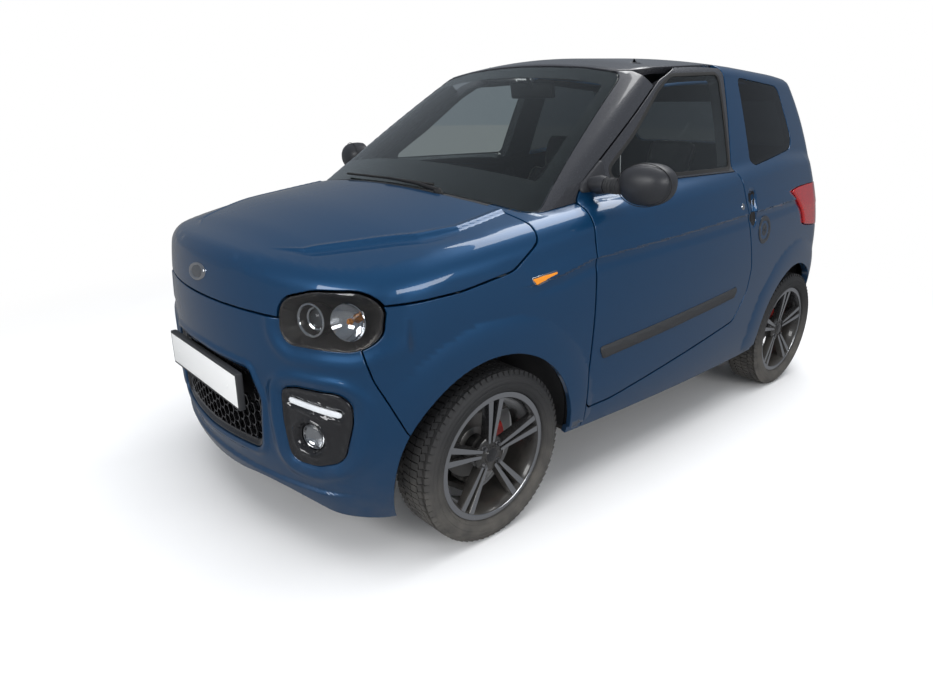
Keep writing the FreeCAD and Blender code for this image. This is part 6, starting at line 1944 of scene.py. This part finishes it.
def makeCamera():
    yaw, pitch = math.radians(view["yaw"]), math.radians(view["pitch"])
    ahead = Vector((math.cos(yaw) * math.cos(pitch), math.sin(yaw) * math.cos(pitch), math.sin(pitch)))
    right = Vector((math.sin(yaw), -math.cos(yaw), 0))
    up = right.cross(ahead)
    c, s = math.cos(view["roll"]), math.sin(view["roll"])
    right, up = right * c + up * s, up * c - right * s
    camera = addObject("camera", bpy.data.cameras.new("camera"))
    camera.data.lens = view["focus"] * view["sensor"] / view["across"]
    camera.data.sensor_width = view["sensor"]
    camera.data.clip_start = 0.05
    camera.matrix_world = Matrix((
        (right.x, up.x, -ahead.x, view["place"][0]), (right.y, up.y, -ahead.y, view["place"][1]),
        (right.z, up.z, -ahead.z, view["place"][2]), (0, 0, 0, 1)))
    bpy.context.scene.camera = camera


def floorMaterial():
    # matt and pale near the part, plain white further out, and dim in reflections
    material = grained("paleFloor", (0.78, 0.78, 0.78), (0.82, 0.82, 0.82), 3, (0.8, 0.9))
    tree = material.node_tree
    make = tree.nodes.new
    end, shader = tree.nodes["Material Output"], tree.nodes["Principled BSDF"]
    place, reach, path = make("ShaderNodeTexCoord"), make("ShaderNodeVectorMath"), make("ShaderNodeLightPath")
    fade = setInputs(make("ShaderNodeMapRange"), From_Min=1.9, From_Max=3.9)
    reach.operation, fade.interpolation_type = "LENGTH", "SMOOTHSTEP"
    seen = mathNode(tree, "MULTIPLY", fade.outputs["Result"], path.outputs["Is Camera Ray"])
    white, dim = make("ShaderNodeEmission"), setInputs(make("ShaderNodeEmission"), Color=(0.80, 0.82, 0.86, 1),
                                                       Strength=0.28)
    first, second = make("ShaderNodeMixShader"), make("ShaderNodeMixShader")
    wire(tree, (place, "Object", reach, 0), (reach, "Value", fade, "Value"), (seen, "Value", first, "Fac"),
         (shader, "BSDF", first, 1), (white, "Emission", first, 2), (path, "Is Glossy Ray", second, "Fac"),
         (first, "Shader", second, 1), (dim, "Emission", second, 2), (second, "Shader", end, "Surface"))
    return material


def makeFloor():
    mesh = bpy.data.meshes.new("floor")
    reach, low = 60, -0.0005
    mesh.from_pydata([(x * reach, y * reach, low) for x, y in ((-1, -1), (1, -1), (1, 1), (-1, 1))], [],
                     [(0, 1, 2, 3)])
    mesh.materials.append(floorMaterial())
    addObject("floor", mesh)


def areaLight(name, place, aim, wide, tall, power):
    light = bpy.data.lights.new(name, "AREA")
    light.shape, light.size, light.size_y, light.energy = "RECTANGLE", wide, tall, power
    lamp = addObject(name, light)
    lamp.location = place
    lamp.rotation_euler = (Vector(aim) - Vector(place)).to_track_quat("-Z", "Y").to_euler()
    return lamp


def makeLight():
    # the camera sees a white backdrop, gloss sees a dimmer room with the soft lights in it
    world = bpy.data.worlds.new("studio")
    world.use_nodes = True
    tree = world.node_tree
    soft, end, path = tree.nodes["Background"], tree.nodes["World Output"], tree.nodes.new("ShaderNodeLightPath")
    last = setInputs(soft, Color=(0.86, 0.90, 0.96, 1), Strength=0.62).outputs[0]
    for ray, colour, strength in (("Is Glossy Ray", (0.80, 0.88, 1.0, 1), 0.22),
                                  ("Is Camera Ray", (1, 1, 1, 1), 1.0)):
        plain, blend = tree.nodes.new("ShaderNodeBackground"), tree.nodes.new("ShaderNodeMixShader")
        setInputs(plain, Color=colour, Strength=strength)
        tree.links.new(last, blend.inputs[1])
        wire(tree, (path, ray, blend, "Fac"), (plain, "Background", blend, 2))
        last = blend.outputs["Shader"]
    tree.links.new(last, end.inputs["Surface"])
    bpy.context.scene.world = world
    # the broad one lights the part without glare on the windscreen, the one behind it draws the highlights
    overhead = areaLight("overhead", (0.2, 0.4, 5.0), (0.2, 0, 0.5), 7.0, 5.0, 280)
    overhead.visible_glossy = overhead.visible_transmission = False
    areaLight("backSoft", (-2.1, 0.1, 4.4), (0.2, 0, 0.6), 3.0, 2.0, 80)
    areaLight("frontSoft", (5.0, 1.2, 2.8), (0.8, 0, 0.6), 3.0, 1.6, 90)
    areaLight("sideSoft", (0.5, 5.5, 2.6), (0, 0, 0.7), 4.0, 1.2, 90)


makeCamera()
makeFloor()
makeLight()
bpy.context.scene.view_settings.view_transform = "Standard"
